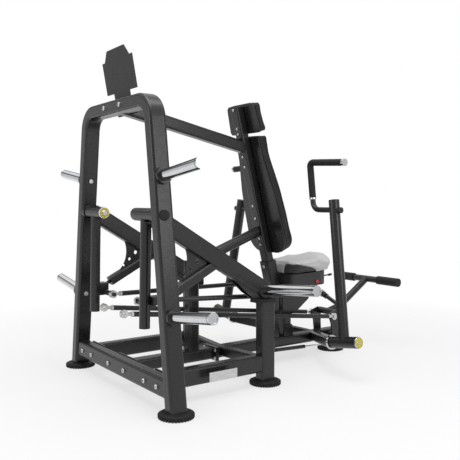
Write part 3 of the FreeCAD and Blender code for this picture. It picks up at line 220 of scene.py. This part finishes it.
def finish(name, colour, other, patch, rough, grains, metallic=0.0, coat=0.0, specular=0.5, sheen=0.0):
    """A finish whose colour drifts from colour to other in patches of about 1/patch metres.

    rough is the lowest and highest roughness. grains is a list of (kind, scale, depth in metres)."""
    material = bpy.data.materials.new(name)
    material.use_nodes = True
    tree = material.node_tree
    shader = tree.nodes["Principled BSDF"]
    shader.inputs["Metallic"].default_value = metallic
    shader.inputs["Coat Weight"].default_value = coat
    shader.inputs["Coat Roughness"].default_value = COAT_ROUGHNESS
    shader.inputs["Specular IOR Level"].default_value = specular
    shader.inputs["Sheen Weight"].default_value = sheen
    place = add_node(tree, "ShaderNodeTexCoord").outputs["Object"]
    drift = add_node(tree, "ShaderNodeTexNoise", Scale=patch, Detail=4.0, Roughness=0.6)
    tree.links.new(place, drift.inputs["Vector"])
    tint = add_node(tree, "ShaderNodeMix", data_type="RGBA")
    for socket, value in zip(colour_sockets(tint.inputs), (colour, other)):
        socket.default_value = (*value, 1)
    spread = add_node(tree, "ShaderNodeMapRange", From_Min=0.35, From_Max=0.65)
    tree.links.new(drift.outputs["Fac"], spread.inputs["Value"])
    tree.links.new(spread.outputs[0], tint.inputs[0])
    tree.links.new(colour_sockets(tint.outputs)[0], shader.inputs["Base Color"])
    wear = add_node(tree, "ShaderNodeTexNoise", Scale=patch * 5, Detail=3.0)
    tree.links.new(place, wear.inputs["Vector"])
    rub = add_node(
        tree, "ShaderNodeMapRange", From_Min=0.3, From_Max=0.7, To_Min=rough[0], To_Max=rough[1])
    tree.links.new(wear.outputs["Fac"], rub.inputs["Value"])
    tree.links.new(rub.outputs[0], shader.inputs["Roughness"])
    normal = None
    for kind, scale, depth in grains:
        if kind == "cells":
            grain = add_node(tree, "ShaderNodeTexVoronoi", feature="DISTANCE_TO_EDGE", Scale=scale)
            height = add_node(tree, "ShaderNodeMapRange", From_Max=0.22)
            tree.links.new(grain.outputs["Distance"], height.inputs["Value"])
            height_out = height.outputs[0]
        else:
            grain = add_node(tree, "ShaderNodeTexNoise", Scale=scale, Detail=2.0)
            height_out = grain.outputs["Fac"]
        tree.links.new(place, grain.inputs["Vector"])
        bump = add_node(tree, "ShaderNodeBump", Strength=BUMP_STRENGTH, Distance=depth)
        tree.links.new(height_out, bump.inputs["Height"])
        if normal is not None:
            tree.links.new(normal, bump.inputs["Normal"])
        normal = bump.outputs["Normal"]
    if normal is not None:
        tree.links.new(normal, shader.inputs["Normal"])
    return material


# %% [markdown]
# Powder coat is sprayed dry and baked. Up close it has a fine orange peel under a soft sheen, never a
# mirror. Chrome is the opposite: almost no roughness, and faint ripples left by polishing.

# %% The machine's finishes
finishes = {
    "frame_paint": finish(
        "powder_coat", (0.0085, 0.0085, 0.0088), (0.0115, 0.0115, 0.0118), 14, (0.25, 0.33),
        [("noise", 420, 0.00010), ("noise", 1500, 0.00004)], specular=0.5),
    "placard_plastic": finish(
        "placard_sheet", (0.016, 0.016, 0.0165), (0.020, 0.020, 0.0205), 20, (0.42, 0.52),
        [("noise", 900, 0.0002)], specular=0.35),
    "chrome": finish(
        "bright_chrome", (0.66, 0.67, 0.68), (0.60, 0.61, 0.62), 18, (0.05, 0.10),
        [("noise", 60, 0.0002)], metallic=1.0),
    "rubber": finish(
        "black_rubber", (0.010, 0.010, 0.010), (0.015, 0.015, 0.015), 40, (0.5, 0.7),
        [("noise", 700, 0.0004)], specular=0.3),
    "pad_leather": finish(
        "black_leather", (0.0055, 0.0055, 0.0058), (0.0085, 0.0085, 0.0088), 9, (0.38, 0.5),
        [("cells", 330, 0.0004), ("noise", 35, 0.0008)], specular=0.28, sheen=0.02),
    "seat_leather": finish(
        "grey_leather", (0.52, 0.52, 0.525), (0.57, 0.57, 0.575), 9, (0.40, 0.52),
        [("cells", 330, 0.0004), ("noise", 30, 0.0008)], specular=0.4),
    "dark_plastic": finish(
        "shell_plastic", (0.020, 0.020, 0.021), (0.026, 0.026, 0.027), 22, (0.34, 0.46),
        [("noise", 1100, 0.0002)], specular=0.45),
    "red_plastic": finish(
        "red_button", (0.42, 0.008, 0.010), (0.5, 0.012, 0.014), 60, (0.22, 0.32),
        [("noise", 800, 0.0001)], coat=0.3),
    "yellow_plastic": finish(
        "yellow_ring", (0.56, 0.44, 0.018), (0.62, 0.50, 0.03), 60, (0.30, 0.40),
        [("noise", 900, 0.0001)], specular=0.3),
}
zinc = finish(
    "zinc_plate", (0.62, 0.62, 0.61), (0.54, 0.54, 0.53), 90, (0.18, 0.32),
    [("noise", 500, 0.0002)], metallic=1.0)
brushed = finish(
    "brushed_plate", (0.62, 0.62, 0.61), (0.54, 0.54, 0.53), 70, (0.32, 0.46),
    [("noise", 1300, 0.0002)], metallic=0.85)
stitch_thread = finish(
    "black_thread", (0.03, 0.03, 0.03), (0.045, 0.045, 0.045), 300, (0.6, 0.8),
    [("noise", 2500, 0.0002)])
side_leather = finish(
    "piping_leather", (0.014, 0.014, 0.0145), (0.019, 0.019, 0.0195), 9, (0.42, 0.56),
    [("cells", 330, 0.0004), ("noise", 35, 0.0008)], specular=0.4)

slot_of_node = {part["node"]: part["material_slot"] for part in frame["record"]["subparts"]}
for node_name, cad_object in frame["nodes"].items():
    cad_object.data.materials.clear()
    cad_object.data.materials.append(finishes[slot_of_node[node_name]])
for node_name in ("frame_bolts", "right_upper_rod_ends", "left_upper_rod_ends",
                  "right_lower_rod_ends", "left_lower_rod_ends"):
    frame["nodes"][node_name].data.materials[0] = zinc
print("finishes", len(bpy.data.materials))

# %% [markdown]
# ## Tools for new pieces
# A round piece starts as a flat disc, which is pushed along its axis step by step, growing and
# shrinking on the way. That is how a lathe part is described, and it always gives a closed solid.
# A finished piece keeps its place in its mesh, with its object at the origin.

# %% Helpers to make and place a piece


def deselect():
    """Leaves nothing selected, in object mode."""
    if bpy.context.object and bpy.context.object.mode != "OBJECT":
        bpy.ops.object.mode_set(mode="OBJECT")
    bpy.ops.object.select_all(action="DESELECT")


def settle(piece, name, material, body):
    """Names a piece, applies its place, gives it its finish and lets it ride on a body."""
    deselect()
    piece.select_set(True)
    bpy.context.view_layer.objects.active = piece
    bpy.ops.object.transform_apply(location=True, rotation=True, scale=True)
    piece.name = name
    piece.data.name = name
    piece.data.materials.clear()
    piece.data.materials.append(material)
    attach(piece, body)
    return piece


def turned(profile, steps=48):
    """A closed round solid on the Z axis. profile lists (radius, height) from the bottom up."""
    deselect()
    radius, height = profile[0]
    bpy.ops.mesh.primitive_circle_add(
        vertices=steps, radius=radius, fill_type="NGON", location=(0, 0, height))
    bpy.ops.object.mode_set(mode="EDIT")
    bpy.ops.mesh.select_all(action="SELECT")
    for next_radius, next_height in profile[1:]:
        rise = (0, 0, next_height - height)
        bpy.ops.mesh.extrude_region_move(TRANSFORM_OT_translate={"value": rise})
        grow = next_radius / radius
        bpy.ops.transform.resize(value=(grow, grow, 1))
        radius, height = next_radius, next_height
    bpy.ops.mesh.select_all(action="SELECT")
    bpy.ops.mesh.normals_make_consistent(inside=False)
    bpy.ops.object.mode_set(mode="OBJECT")
    bpy.ops.object.shade_smooth_by_angle(angle=math.radians(35))
    return bpy.context.object


def stand(piece, at, along):
    """Turns a piece's Z axis to along and moves it to at."""
    turn = Vector(along).to_track_quat("Z", "Y").to_matrix().to_4x4()
    piece.matrix_world = Matrix.Translation(Vector(at)) @ turn @ piece.matrix_world
    return piece


def join(pieces):
    """One object from several."""
    deselect()
    for piece in pieces:
        piece.select_set(True)
    bpy.context.view_layer.objects.active = pieces[0]
    bpy.ops.object.join()
    return bpy.context.object


def bead(points, radius, pitch, ripple=0.25, closed=True):
    """A rippled line along points, as a weld bead or a row of stitches has, made a mesh."""
    deselect()
    curve = bpy.data.curves.new("bead", "CURVE")
    curve.dimensions = "3D"
    curve.bevel_depth = radius
    curve.bevel_resolution = 2
    loop = list(points) + ([points[0]] if closed else [])
    spots = []
    for start, end in zip(loop, loop[1:]):
        parts = max(1, round((end - start).length / (pitch / 4)))
        spots += [start.lerp(end, step / parts) for step in range(parts)]
    spline = curve.splines.new("POLY")
    spline.points.add(len(spots) - 1)
    for index, (point, spot) in enumerate(zip(spline.points, spots)):
        point.co = (*spot, 1)
        point.radius = 1 - ripple * (0.5 + 0.5 * math.cos(index * math.pi / 2))
    spline.use_cyclic_u = closed
    piece = bpy.data.objects.new("bead", curve)
    bpy.context.scene.collection.objects.link(piece)
    piece.select_set(True)
    bpy.context.view_layer.objects.active = piece
    bpy.ops.object.convert(target="MESH")
    bpy.ops.object.shade_smooth()
    return bpy.context.object


def ring_points(centre, axis, radius, steps=32):
    """Points on a circle round an axis."""
    turn = Vector(axis).to_track_quat("Z", "Y")
    angles = [2 * math.pi * step / steps for step in range(steps)]
    return [Vector(centre) + turn @ Vector((radius * math.cos(a), radius * math.sin(a), 0)) for a in angles]


def loose_copy(node_name):
    """A separate, merged copy of a CAD node's mesh, which can be reshaped."""
    deselect()
    piece = bpy.data.objects.new(node_name + "_copy", frame["nodes"][node_name].data.copy())
    bpy.context.scene.collection.objects.link(piece)
    piece.select_set(True)
    bpy.context.view_layer.objects.active = piece
    bpy.ops.object.mode_set(mode="EDIT")
    bpy.ops.mesh.select_all(action="SELECT")
    bpy.ops.mesh.remove_doubles(threshold=0.00002)
    bpy.ops.object.mode_set(mode="OBJECT")
    return piece


def islands(node_name):
    """The lowest and highest corner of each separate solid in a CAD node."""
    piece = loose_copy(node_name)
    bpy.ops.object.mode_set(mode="EDIT")
    bpy.ops.mesh.separate(type="LOOSE")
    bpy.ops.object.mode_set(mode="OBJECT")
    found = []
    for part in list(bpy.context.selected_objects):
        corners = [vertex.co for vertex in part.data.vertices]
        low = Vector([min(c[axis] for c in corners) for axis in range(3)])
        high = Vector([max(c[axis] for c in corners) for axis in range(3)])
        found.append((low, high))
        bpy.data.objects.remove(part)
    return sorted(found, key=lambda box: tuple(round(v, 3) for v in box[0]))


# %% [markdown]
# ## Rubber feet
# Each upright stands in a moulded rubber disc whose rim is ribbed, so that it grips the floor. The
# disc is turned with a low dome, and one rounded rib is modelled, copied round the rim and joined.

# %% Make the five feet
RIBS = 34
RIB_RADIUS = 0.0052
feet = []
for low, high in islands("rubber_feet"):
    centre = (low + high) / 2
    rim = (high.x - low.x) / 2
    top = high.z
    disc = turned([
        (rim - 0.009, 0.0), (rim - 0.006, 0.002), (rim - 0.005, 0.005), (rim - 0.005, top * 0.66),
        (rim - 0.008, top * 0.82), (rim - 0.014, top * 0.92), (rim * 0.72, top),
    ], 68)
    parts = [disc]
    for rib in range(RIBS):
        angle = 2 * math.pi * rib / RIBS
        knob = turned([
            (RIB_RADIUS * 0.7, 0.0006), (RIB_RADIUS, 0.003), (RIB_RADIUS, top * 0.62),
            (RIB_RADIUS * 0.75, top * 0.74), (RIB_RADIUS * 0.3, top * 0.78),
        ], 10)
        knob.location = ((rim - RIB_RADIUS) * math.cos(angle), (rim - RIB_RADIUS) * math.sin(angle), 0)
        parts.append(knob)
    foot = join(parts)
    deselect()
    foot.select_set(True)
    bpy.ops.object.transform_apply(location=True, rotation=True, scale=True)
    foot.location = (centre.x, centre.y, 0)
    feet.append(foot)
ribbed_feet = settle(join(feet), "ribbed_feet", finishes["rubber"], "frame")
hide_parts("rubber_feet")
print("feet", len(feet), "faces", len(ribbed_feet.data.polygons))

# %% [markdown]
# ## Pivot caps
# Each hub ends in a pressed cap: a silver rim, a yellow ring, and a bolt with its washer in the middle.
# Three turned pieces with a finish each keep the borders between the colours exact.

# %% Make the four caps
THINNEST_CAP = 0.0016
LEVER_CAP_PROUD = 0.0092
PRESS_CAP_PROUD = 0.0084


def pivot_cap(node_name, side, body, arm, axis, proud):
    """A cap of three finishes in the place of a CAD hub cap. axis points out of the hub.

    proud is how far the ring stands off the hub, to lie over the shaft's washer."""
    low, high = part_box(node_name)
    centre = (low + high) / 2
    axis = Vector(axis).normalized()
    radius = (high.z - low.z) / 2
    depth = max(high.x - low.x - 2 * radius * abs(axis.z), THINNEST_CAP)
    base = centre - axis * (depth / 2)
    rim = turned([
        (radius, 0), (radius, proud * 0.8), (radius - 0.001, proud * 0.95), (radius * 0.87, proud * 0.95),
        (radius * 0.86, proud * 0.6), (radius * 0.4, proud * 0.5),
    ], 56)
    ring = turned([
        (radius * 0.85, 0), (radius * 0.85, proud * 0.9), (radius * 0.83, proud), (radius * 0.35, proud),
        (radius * 0.34, proud * 0.95), (radius * 0.2, proud * 0.9),
    ], 56)
    washer = turned([
        (radius * 0.33, 0), (radius * 0.33, proud + 0.0008), (radius * 0.31, proud + 0.0012),
        (radius * 0.2, proud + 0.0012),
    ], 40)
    head = turned([
        (radius * 0.22, 0), (radius * 0.22, proud + 0.0022), (radius * 0.18, proud + 0.0028),
        (radius * 0.10, proud + 0.0028), (radius * 0.09, proud + 0.0014),
    ], 6)
    made = []
    for piece, label, material, slot in (
        (rim, "cap_rim", zinc, "chrome"),
        (ring, "cap_ring", finishes["yellow_plastic"], "yellow_plastic"),
        (join([washer, head]), "cap_bolt", zinc, "chrome"),
    ):
        stand(piece, base, axis)
        made.append(settle(piece, side + "_" + arm + "_" + label, material, body))
    for piece in made:
        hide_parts(node_name)
    return radius, depth


joint_axis = {joint["name"]: Vector(joint["axis"]).normalized() for joint in frame["joints"]}
for side, sign in (("right", 1), ("left", -1)):
    inwards = (-sign, 0, 0)
    lever_cap = pivot_cap(
        side + "_lever_hub_cap", side, side + "_lever", "lever", inwards, LEVER_CAP_PROUD)
    out = joint_axis[side + "_press_pivot"]
    out = out if out.x * sign > 0 else -out
    press_cap = pivot_cap(
        side + "_press_hub_cap", side, side + "_press", "press", out, PRESS_CAP_PROUD)
    print(side, "caps", [round(v * 1000, 1) for v in lever_cap + press_cap])

# %% [markdown]
# Where each lever's shaft comes out of its upright, a black plug covers it. Two turned, domed discs
# go over the CAD shaft's ends.

# %% Cover the lever shafts
PLUG_RADIUS = 0.0225
LOWEST_LEVER_SHAFT = 0.7
plugs = []
for low, high in islands("pivot_shafts"):
    if high.z < LOWEST_LEVER_SHAFT:
        continue
    side = 1 if high.x > 0 else -1
    plug = turned([
        (PLUG_RADIUS, -0.0058), (PLUG_RADIUS, 0.0006), (PLUG_RADIUS * 0.9, 0.0016),
        (PLUG_RADIUS * 0.3, 0.0022),
    ], 40)
    shaft_end = Vector((high.x if side > 0 else low.x, (low.y + high.y) / 2, (low.z + high.z) / 2))
    plugs.append(stand(plug, shaft_end, (side, 0, 0)))
print("plugs", len(plugs))
settle(join(plugs), "shaft_plugs", finishes["rubber"], "frame")

# %% [markdown]
# ## The rail's plate
# The right side rail carries a small brushed metal plate, riveted at its ends. It is left blank. A
# thin block is bevelled at its corners, and two domed rivets hold it.

# %% Make the blank plate
PLATE_LENGTH = 0.150
PLATE_HEIGHT = 0.042
PLATE_THICKNESS = 0.0012
PLATE_AHEAD = 0.268
PLATE_MIDDLE = 0.105
RIVET_INSET = 0.008
rail_low, rail_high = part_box("right_side_rail")
plate_centre = Vector((rail_high.x + PLATE_THICKNESS / 2, rail_low.y + PLATE_AHEAD, PLATE_MIDDLE))
deselect()
bpy.ops.mesh.primitive_cube_add(size=1, location=plate_centre)
plate = bpy.context.object
plate.scale = (PLATE_THICKNESS, PLATE_LENGTH, PLATE_HEIGHT)
bpy.ops.object.transform_apply(location=False, rotation=False, scale=True)
corners = plate.modifiers.new("corners", "BEVEL")
corners.width = 0.0004
corners.segments = 2
bpy.ops.object.modifier_apply(modifier="corners")
rivets = []
for end in (-1, 1):
    rivet = turned([(0.0030, 0), (0.0029, 0.0005), (0.0022, 0.0012), (0.0010, 0.0015)], 20)
    offset = Vector((PLATE_THICKNESS / 2, end * (PLATE_LENGTH / 2 - RIVET_INSET), 0))
    stand(rivet, plate_centre + offset, (1, 0, 0))
    rivets.append(rivet)
settle(plate, "rail_plate", brushed, "frame")
settle(join(rivets), "rail_plate_rivets", zinc, "frame")

# %% [markdown]
# ## Stuffed pads
# A pad is foam under stretched leather. The outline is right as the CAD part has it, but foam pushes
# the leather out between its edges, so each pad is remeshed to an even net, its back is held where
# the board is, and cloth with a little pressure inside swells the rest. No point may move further
# than a cap, and the pad starts a little small to leave room. Seams are laid on afterwards, because
# the remesh would wipe them out.

# %% Helpers for pads
CLOTH_FRAMES = 20


def apply_modifier(piece, kind, **settings):
    """Adds a modifier to a piece and applies it at once."""
    deselect()
    piece.select_set(True)
    bpy.context.view_layer.objects.active = piece
    modifier = piece.modifiers.new(kind.lower(), kind)
    for key, value in settings.items():
        setattr(modifier, key, value)
    bpy.ops.object.modifier_apply(modifier=modifier.name)


def swell(piece, held, most, pressure=4.0):
    """Cloth with pressure inside.

    held says of a point whether it stays, and most caps how far a point may move."""
    rest = [vertex.co.copy() for vertex in piece.data.vertices]
    group = piece.vertex_groups.new(name="held")
    group.add([index for index, point in enumerate(rest) if held(point)], 1.0, "REPLACE")
    cloth = piece.modifiers.new("cloth", "CLOTH")
    cloth.settings.quality = 6
    cloth.settings.mass = 0.3
    cloth.settings.use_pressure = True
    cloth.settings.uniform_pressure_force = pressure
    cloth.settings.tension_stiffness = 12
    cloth.settings.compression_stiffness = 12
    cloth.settings.vertex_group_mass = "held"
    cloth.settings.effector_weights.gravity = 0
    cloth.point_cache.frame_start = 1
    cloth.point_cache.frame_end = CLOTH_FRAMES
    for step in range(1, CLOTH_FRAMES + 1):
        bpy.context.scene.frame_set(step)
    shaped = piece.evaluated_get(bpy.context.evaluated_depsgraph_get()).to_mesh()
    moved = [vertex.co.copy() for vertex in shaped.vertices]
    piece.modifiers.remove(cloth)
    piece.vertex_groups.remove(group)
    bpy.context.scene.frame_set(1)
    furthest = 0.0
    for vertex, start, end in zip(piece.data.vertices, rest, moved):
        move = end - start
        if move.length > most:
            move = move.normalized() * most
        furthest = max(furthest, move.length)
        vertex.co = start + move
    print(piece.name, len(rest), "points moved up to", round(furthest * 1000, 1), "mm")


def stuffed(node_name, held, shrink, most, voxel=0.005):
    """A swollen copy of a CAD pad."""
    piece = loose_copy(node_name)
    apply_modifier(piece, "REMESH", mode="VOXEL", voxel_size=voxel)
    apply_modifier(piece, "SMOOTH", factor=0.5, iterations=3)
    apply_modifier(piece, "DISPLACE", strength=-shrink, mid_level=0.0, direction="NORMAL")
    swell(piece, held, most)
    apply_modifier(piece, "SMOOTH", factor=0.5, iterations=2)
    return piece


def skin_tree(piece):
    """A piece's skin, ready for many searches of its nearest place."""
    corners = [vertex.co.copy() for vertex in piece.data.vertices]
    return BVHTree.FromPolygons(corners, [tuple(face.vertices) for face in piece.data.polygons])


def on_skin(tree, points, lift=0.0):
    """Each point moved to the nearest place on a skin, and lifted off it."""
    landed = []
    for point in points:
        spot, normal, _, _ = tree.find_nearest(point)
        landed.append(spot + normal * lift)
    return landed


def softened(points, rounds=3, closed=True):
    """The same line with each point drawn to the middle of its neighbours."""
    for _ in range(rounds):
        count = len(points)
        eased = []
        for index, point in enumerate(points):
            if not closed and index in (0, count - 1):
                eased.append(point)
                continue
            before, after = points[index - 1], points[(index + 1) % count]
            eased.append(point * 0.5 + (before + after) * 0.25)
        points = eased
    return points


def even_line(points, step, closed=True):
    """Points a step apart along a line."""
    loop = list(points) + ([points[0]] if closed else [])
    spots = []
    for start, end in zip(loop, loop[1:]):
        parts = max(1, round((end - start).length / step))
        spots += [start.lerp(end, index / parts) for index in range(parts)]
    return spots if closed else spots + [loop[-1]]


def back_outline(node_name, out):
    """The outline of a pad's flat back, in order. out points from the board into the pad."""
    piece = loose_copy(node_name)
    board = min(vertex.co.dot(out) for vertex in piece.data.vertices)
    rim = [vertex.co.copy() for vertex in piece.data.vertices if vertex.co.dot(out) < board + 0.0002]
    bpy.data.objects.remove(piece)
    middle = sum(rim, Vector()) / len(rim)
    return sorted(rim, key=lambda point: math.atan2(point.z - middle.z, point.x - middle.x))


# %% [markdown]
# The headrest and the back pad are boxed cushions: a back panel, a strip round the edge and a front
# panel, sewn together. Each of the two seams has a cord of piping, which is a real tube laid on the
# swollen skin, with a row of stitches on each side of it.

# %% Make the headrest and the back pad
COLUMN_LEAN = math.radians(14.54)
PAD_OUT = Vector((0, math.cos(COLUMN_LEAN), math.sin(COLUMN_LEAN)))
PIPING_RADIUS = 0.0024
STITCH_RADIUS = 0.0007
STITCH_PITCH = 0.007
SEAM_INSET = 0.005
STITCH_OFFSET = 0.006
STITCH_INSET = 0.007
HELD_DEPTH = 0.007


def boxed_cushion(node_name, name, shrink, most):
    """A swollen cushion with piping round its back and its front."""
    outline = softened(even_line(back_outline(node_name, PAD_OUT), 0.008), 2)
    middle = sum(outline, Vector()) / len(outline)
    board = outline[0].dot(PAD_OUT)
    cad_points = [vertex.co.dot(PAD_OUT) for vertex in frame["nodes"][node_name].data.vertices]
    thickness = max(cad_points) - board
    piece = stuffed(node_name, lambda point: point.dot(PAD_OUT) < board + HELD_DEPTH, shrink, most)
    apply_modifier(piece, "SUBSURF", levels=1, render_levels=1)
    deselect()
    piece.select_set(True)
    bpy.context.view_layer.objects.active = piece
    bpy.ops.object.shade_smooth()
    skin = skin_tree(piece)
    trims, threads = [], []
    for depth, away in ((SEAM_INSET, 1), (thickness - SEAM_INSET, -1)):
        edge = [point + PAD_OUT * depth for point in outline]
        seam = softened(on_skin(skin, edge, 0.0002), 2)
        trims.append(bead(seam, PIPING_RADIUS, 0.02, 0.0))
        beside = [point + PAD_OUT * (away * STITCH_OFFSET) for point in seam]
        core = middle + PAD_OUT * depth
        inside = [point.lerp(core, STITCH_INSET / (point - middle).length) for point in seam]
        for line in (beside, inside):
            threads.append(bead(on_skin(skin, line, 0.0001), STITCH_RADIUS, STITCH_PITCH, 0.9))
    settle(piece, name, finishes["pad_leather"], "frame")
    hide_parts(node_name)
    settle(join(trims), name + "_piping", side_leather, "frame")
    settle(join(threads), name + "_stitches", stitch_thread, "frame")
    return piece


boxed_cushion("headrest_pad", "headrest_cushion", 0.003, 0.006)
boxed_cushion("back_pad", "back_cushion", 0.003, 0.009)

# %% [markdown]
# ## The seat
# The seat is a saddle: wide and slightly dished at the back, rising to a rounded nose between the
# thighs, and narrower below than above. Its top is pale leather that wraps down over the nose, and
# each side has a dark panel let into it. The remeshed block is first drawn into that form, and then
# swollen like the other pads. The panel's border is kept as a distance on every point, so that the
# change of colour stays sharp however coarse the net is, and the groove of the seam follows it. The
# normals are read once before the groove is cut, because every moved point would make Blender work
# all of them out again.

# %% Make the saddle seat
seat_low, seat_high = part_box("seat_pad")
SEAT_SIDE = seat_high.x
SEAT_LENGTH = seat_high.y - seat_low.y
NOSE_NARROWING = 0.08
BOTTOM_TUCK = 0.17
THIGH_DROP = 0.026
DISH_DEPTH = 0.007
REAR_ROUND = 0.012
PANEL_FROM_MIDDLE = 0.05
GROOVE_WIDTH = 0.0022
GROOVE_DEPTH = 0.0018
PANEL_SINK = 0.0024
# the dark panel's outline: ahead of the seat's rear, and above its lowest point
PANEL = [
    Vector((-0.02, 0.058)), Vector((0.03, 0.055)), Vector((0.08, 0.047)), Vector((0.13, 0.035)),
    Vector((0.168, 0.018)), Vector((0.188, -0.004)), Vector((0.19, -0.03)), Vector((-0.02, -0.03)),
]


def ease(value, start, end):
    """0 before start, 1 after end, and smooth between."""
    share = min(max((value - start) / (end - start), 0.0), 1.0)
    return share * share * (3 - 2 * share)


def to_saddle(point):
    """The place on the saddle of a point of the plain block."""
    along = (point.y - seat_low.y) / SEAT_LENGTH
    up = (point.z - seat_low.z) / (seat_high.z - seat_low.z)
    aside = abs(point.x) / SEAT_SIDE
    narrow = 1 - NOSE_NARROWING * ease(along, 0.55, 1.0)
    tuck = 1 - BOTTOM_TUCK * (1 - ease(up, 0.0, 0.75))
    thigh = THIGH_DROP * ease(along, 0.52, 0.80) * ease(aside, 0.25, 0.80) * ease(up, 0.3, 0.9)
    dished = ease(along, 0.02, 0.2) * (1 - ease(along, 0.45, 0.65))
    dish = DISH_DEPTH * (1 - ease(aside, 0.1, 0.9)) * dished * ease(up, 0.5, 0.9)
    rear = REAR_ROUND * ease(aside, 0.45, 1.0) * (1 - ease(along, 0.0, 0.16))
    return Vector((point.x * narrow * tuck, point.y + rear, point.z - thigh - dish))


def panel_distance(point):
    """How far a point lies inside the dark panel's outline, as metres, negative outside."""
    spot = Vector((point.y - seat_low.y, point.z - seat_low.z))
    inside, nearest = False, 1.0
    for start, end in zip(PANEL, PANEL[1:] + PANEL[:1]):
        edge = end - start
        share = min(max((spot - start).dot(edge) / edge.length_squared, 0.0), 1.0)
        nearest = min(nearest, (spot - start - edge * share).length)
        if (start.y > spot.y) != (end.y > spot.y):
            if spot.x < start.x + (spot.y - start.y) * edge.x / edge.y:
                inside = not inside
    return nearest if inside else -nearest


seat = loose_copy("seat_pad")
apply_modifier(seat, "REMESH", mode="VOXEL", voxel_size=0.004)
for vertex in seat.data.vertices:
    vertex.co = to_saddle(vertex.co)
apply_modifier(seat, "SMOOTH", factor=0.5, iterations=8)
apply_modifier(seat, "DISPLACE", strength=-0.003, mid_level=0.0, direction="NORMAL")
swell(seat, lambda point: point.z < seat_low.z + 0.009, 0.008)
apply_modifier(seat, "SMOOTH", factor=0.5, iterations=3)
apply_modifier(seat, "SUBSURF", levels=1, render_levels=1)

border = seat.data.attributes.new("panel", "FLOAT", "POINT")
outward = [vertex.normal.copy() for vertex in seat.data.vertices]
for index, vertex in enumerate(seat.data.vertices):
    on_side = abs(vertex.co.x) > PANEL_FROM_MIDDLE
    depth = panel_distance(vertex.co) if on_side else -PANEL_FROM_MIDDLE
    border.data[index].value = depth
    groove = GROOVE_DEPTH * math.exp(-(depth / GROOVE_WIDTH) ** 2)
    sink = PANEL_SINK * ease(depth, 0.0, 0.006)
    vertex.co -= outward[index] * (groove + sink)
deselect()
seat.select_set(True)
bpy.context.view_layer.objects.active = seat
bpy.ops.object.shade_smooth()


def two_tone(pale, dark, name):
    """A copy of the pale finish that turns to the dark one inside the panel's border."""
    material = pale.copy()
    material.name = name
    tree = material.node_tree
    shader = tree.nodes["Principled BSDF"]
    source = shader.inputs["Base Color"].links[0].from_socket
    distance = add_node(tree, "ShaderNodeAttribute", attribute_name="panel")
    edge = add_node(tree, "ShaderNodeMapRange", From_Min=-0.0006, From_Max=0.0006)
    blend = add_node(tree, "ShaderNodeMix", data_type="RGBA")
    colours = colour_sockets(blend.inputs)
    colours[1].default_value = (*dark, 1)
    tree.links.new(distance.outputs["Fac"], edge.inputs["Value"])
    tree.links.new(edge.outputs[0], blend.inputs[0])
    tree.links.new(source, colours[0])
    tree.links.new(colour_sockets(blend.outputs)[0], shader.inputs["Base Color"])
    return material


DARK_PANEL = (0.03, 0.03, 0.031)
seat_finish = two_tone(finishes["seat_leather"], DARK_PANEL, "two_tone_leather")
settle(seat, "saddle_seat", seat_finish, "seat")
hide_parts("seat_pad")
seat_threads = []
seat_skin = skin_tree(seat)
for sign in (1, -1):
    corner = Vector((sign * SEAT_SIDE, seat_low.y, seat_low.z))
    path = [corner + Vector((0, spot.x, spot.y)) for spot in PANEL[1:6]]
    path = softened(even_line(path, 0.006, closed=False), 8, closed=False)
    lifted = [point + Vector((0, 0.002, 0.005)) for point in path]
    line = on_skin(seat_skin, lifted, 0.0001)
    seat_threads.append(bead(line, STITCH_RADIUS, STITCH_PITCH, 0.9, closed=False))
settle(join(seat_threads), "seat_stitches", stitch_thread, "seat")

# %% [markdown]
# ## Welds
# The storage pegs' collars are welded to the uprights, and each joint shows a rippled bead under the
# paint. A bead is a thin tube whose thickness rises and falls every few millimetres, laid along the
# line where two parts meet.

# %% Lay the weld beads
WELD_RADIUS = 0.0028
WELD_PITCH = 0.006
COLLAR_WELD_RADIUS = 0.0365
PEG_RISE = 0.1363
welds = []
for low, high in islands("storage_pegs"):
    side = 1 if high.x > 0 else -1
    along = Vector((side, 0, PEG_RISE)).normalized()
    inner = Vector((low.x if side > 0 else high.x, (low.y + high.y) / 2, 0))
    inner.z = low.z + 0.02 * along.x * side + 0.0005
    welds.append(bead(ring_points(inner, along, COLLAR_WELD_RADIUS), WELD_RADIUS, WELD_PITCH))
settle(join(welds), "peg_collar_welds", finishes["frame_paint"], "frame")
print("beads", len(welds))

# %% [markdown]
# ## Finish

# %% Finish
deselect()
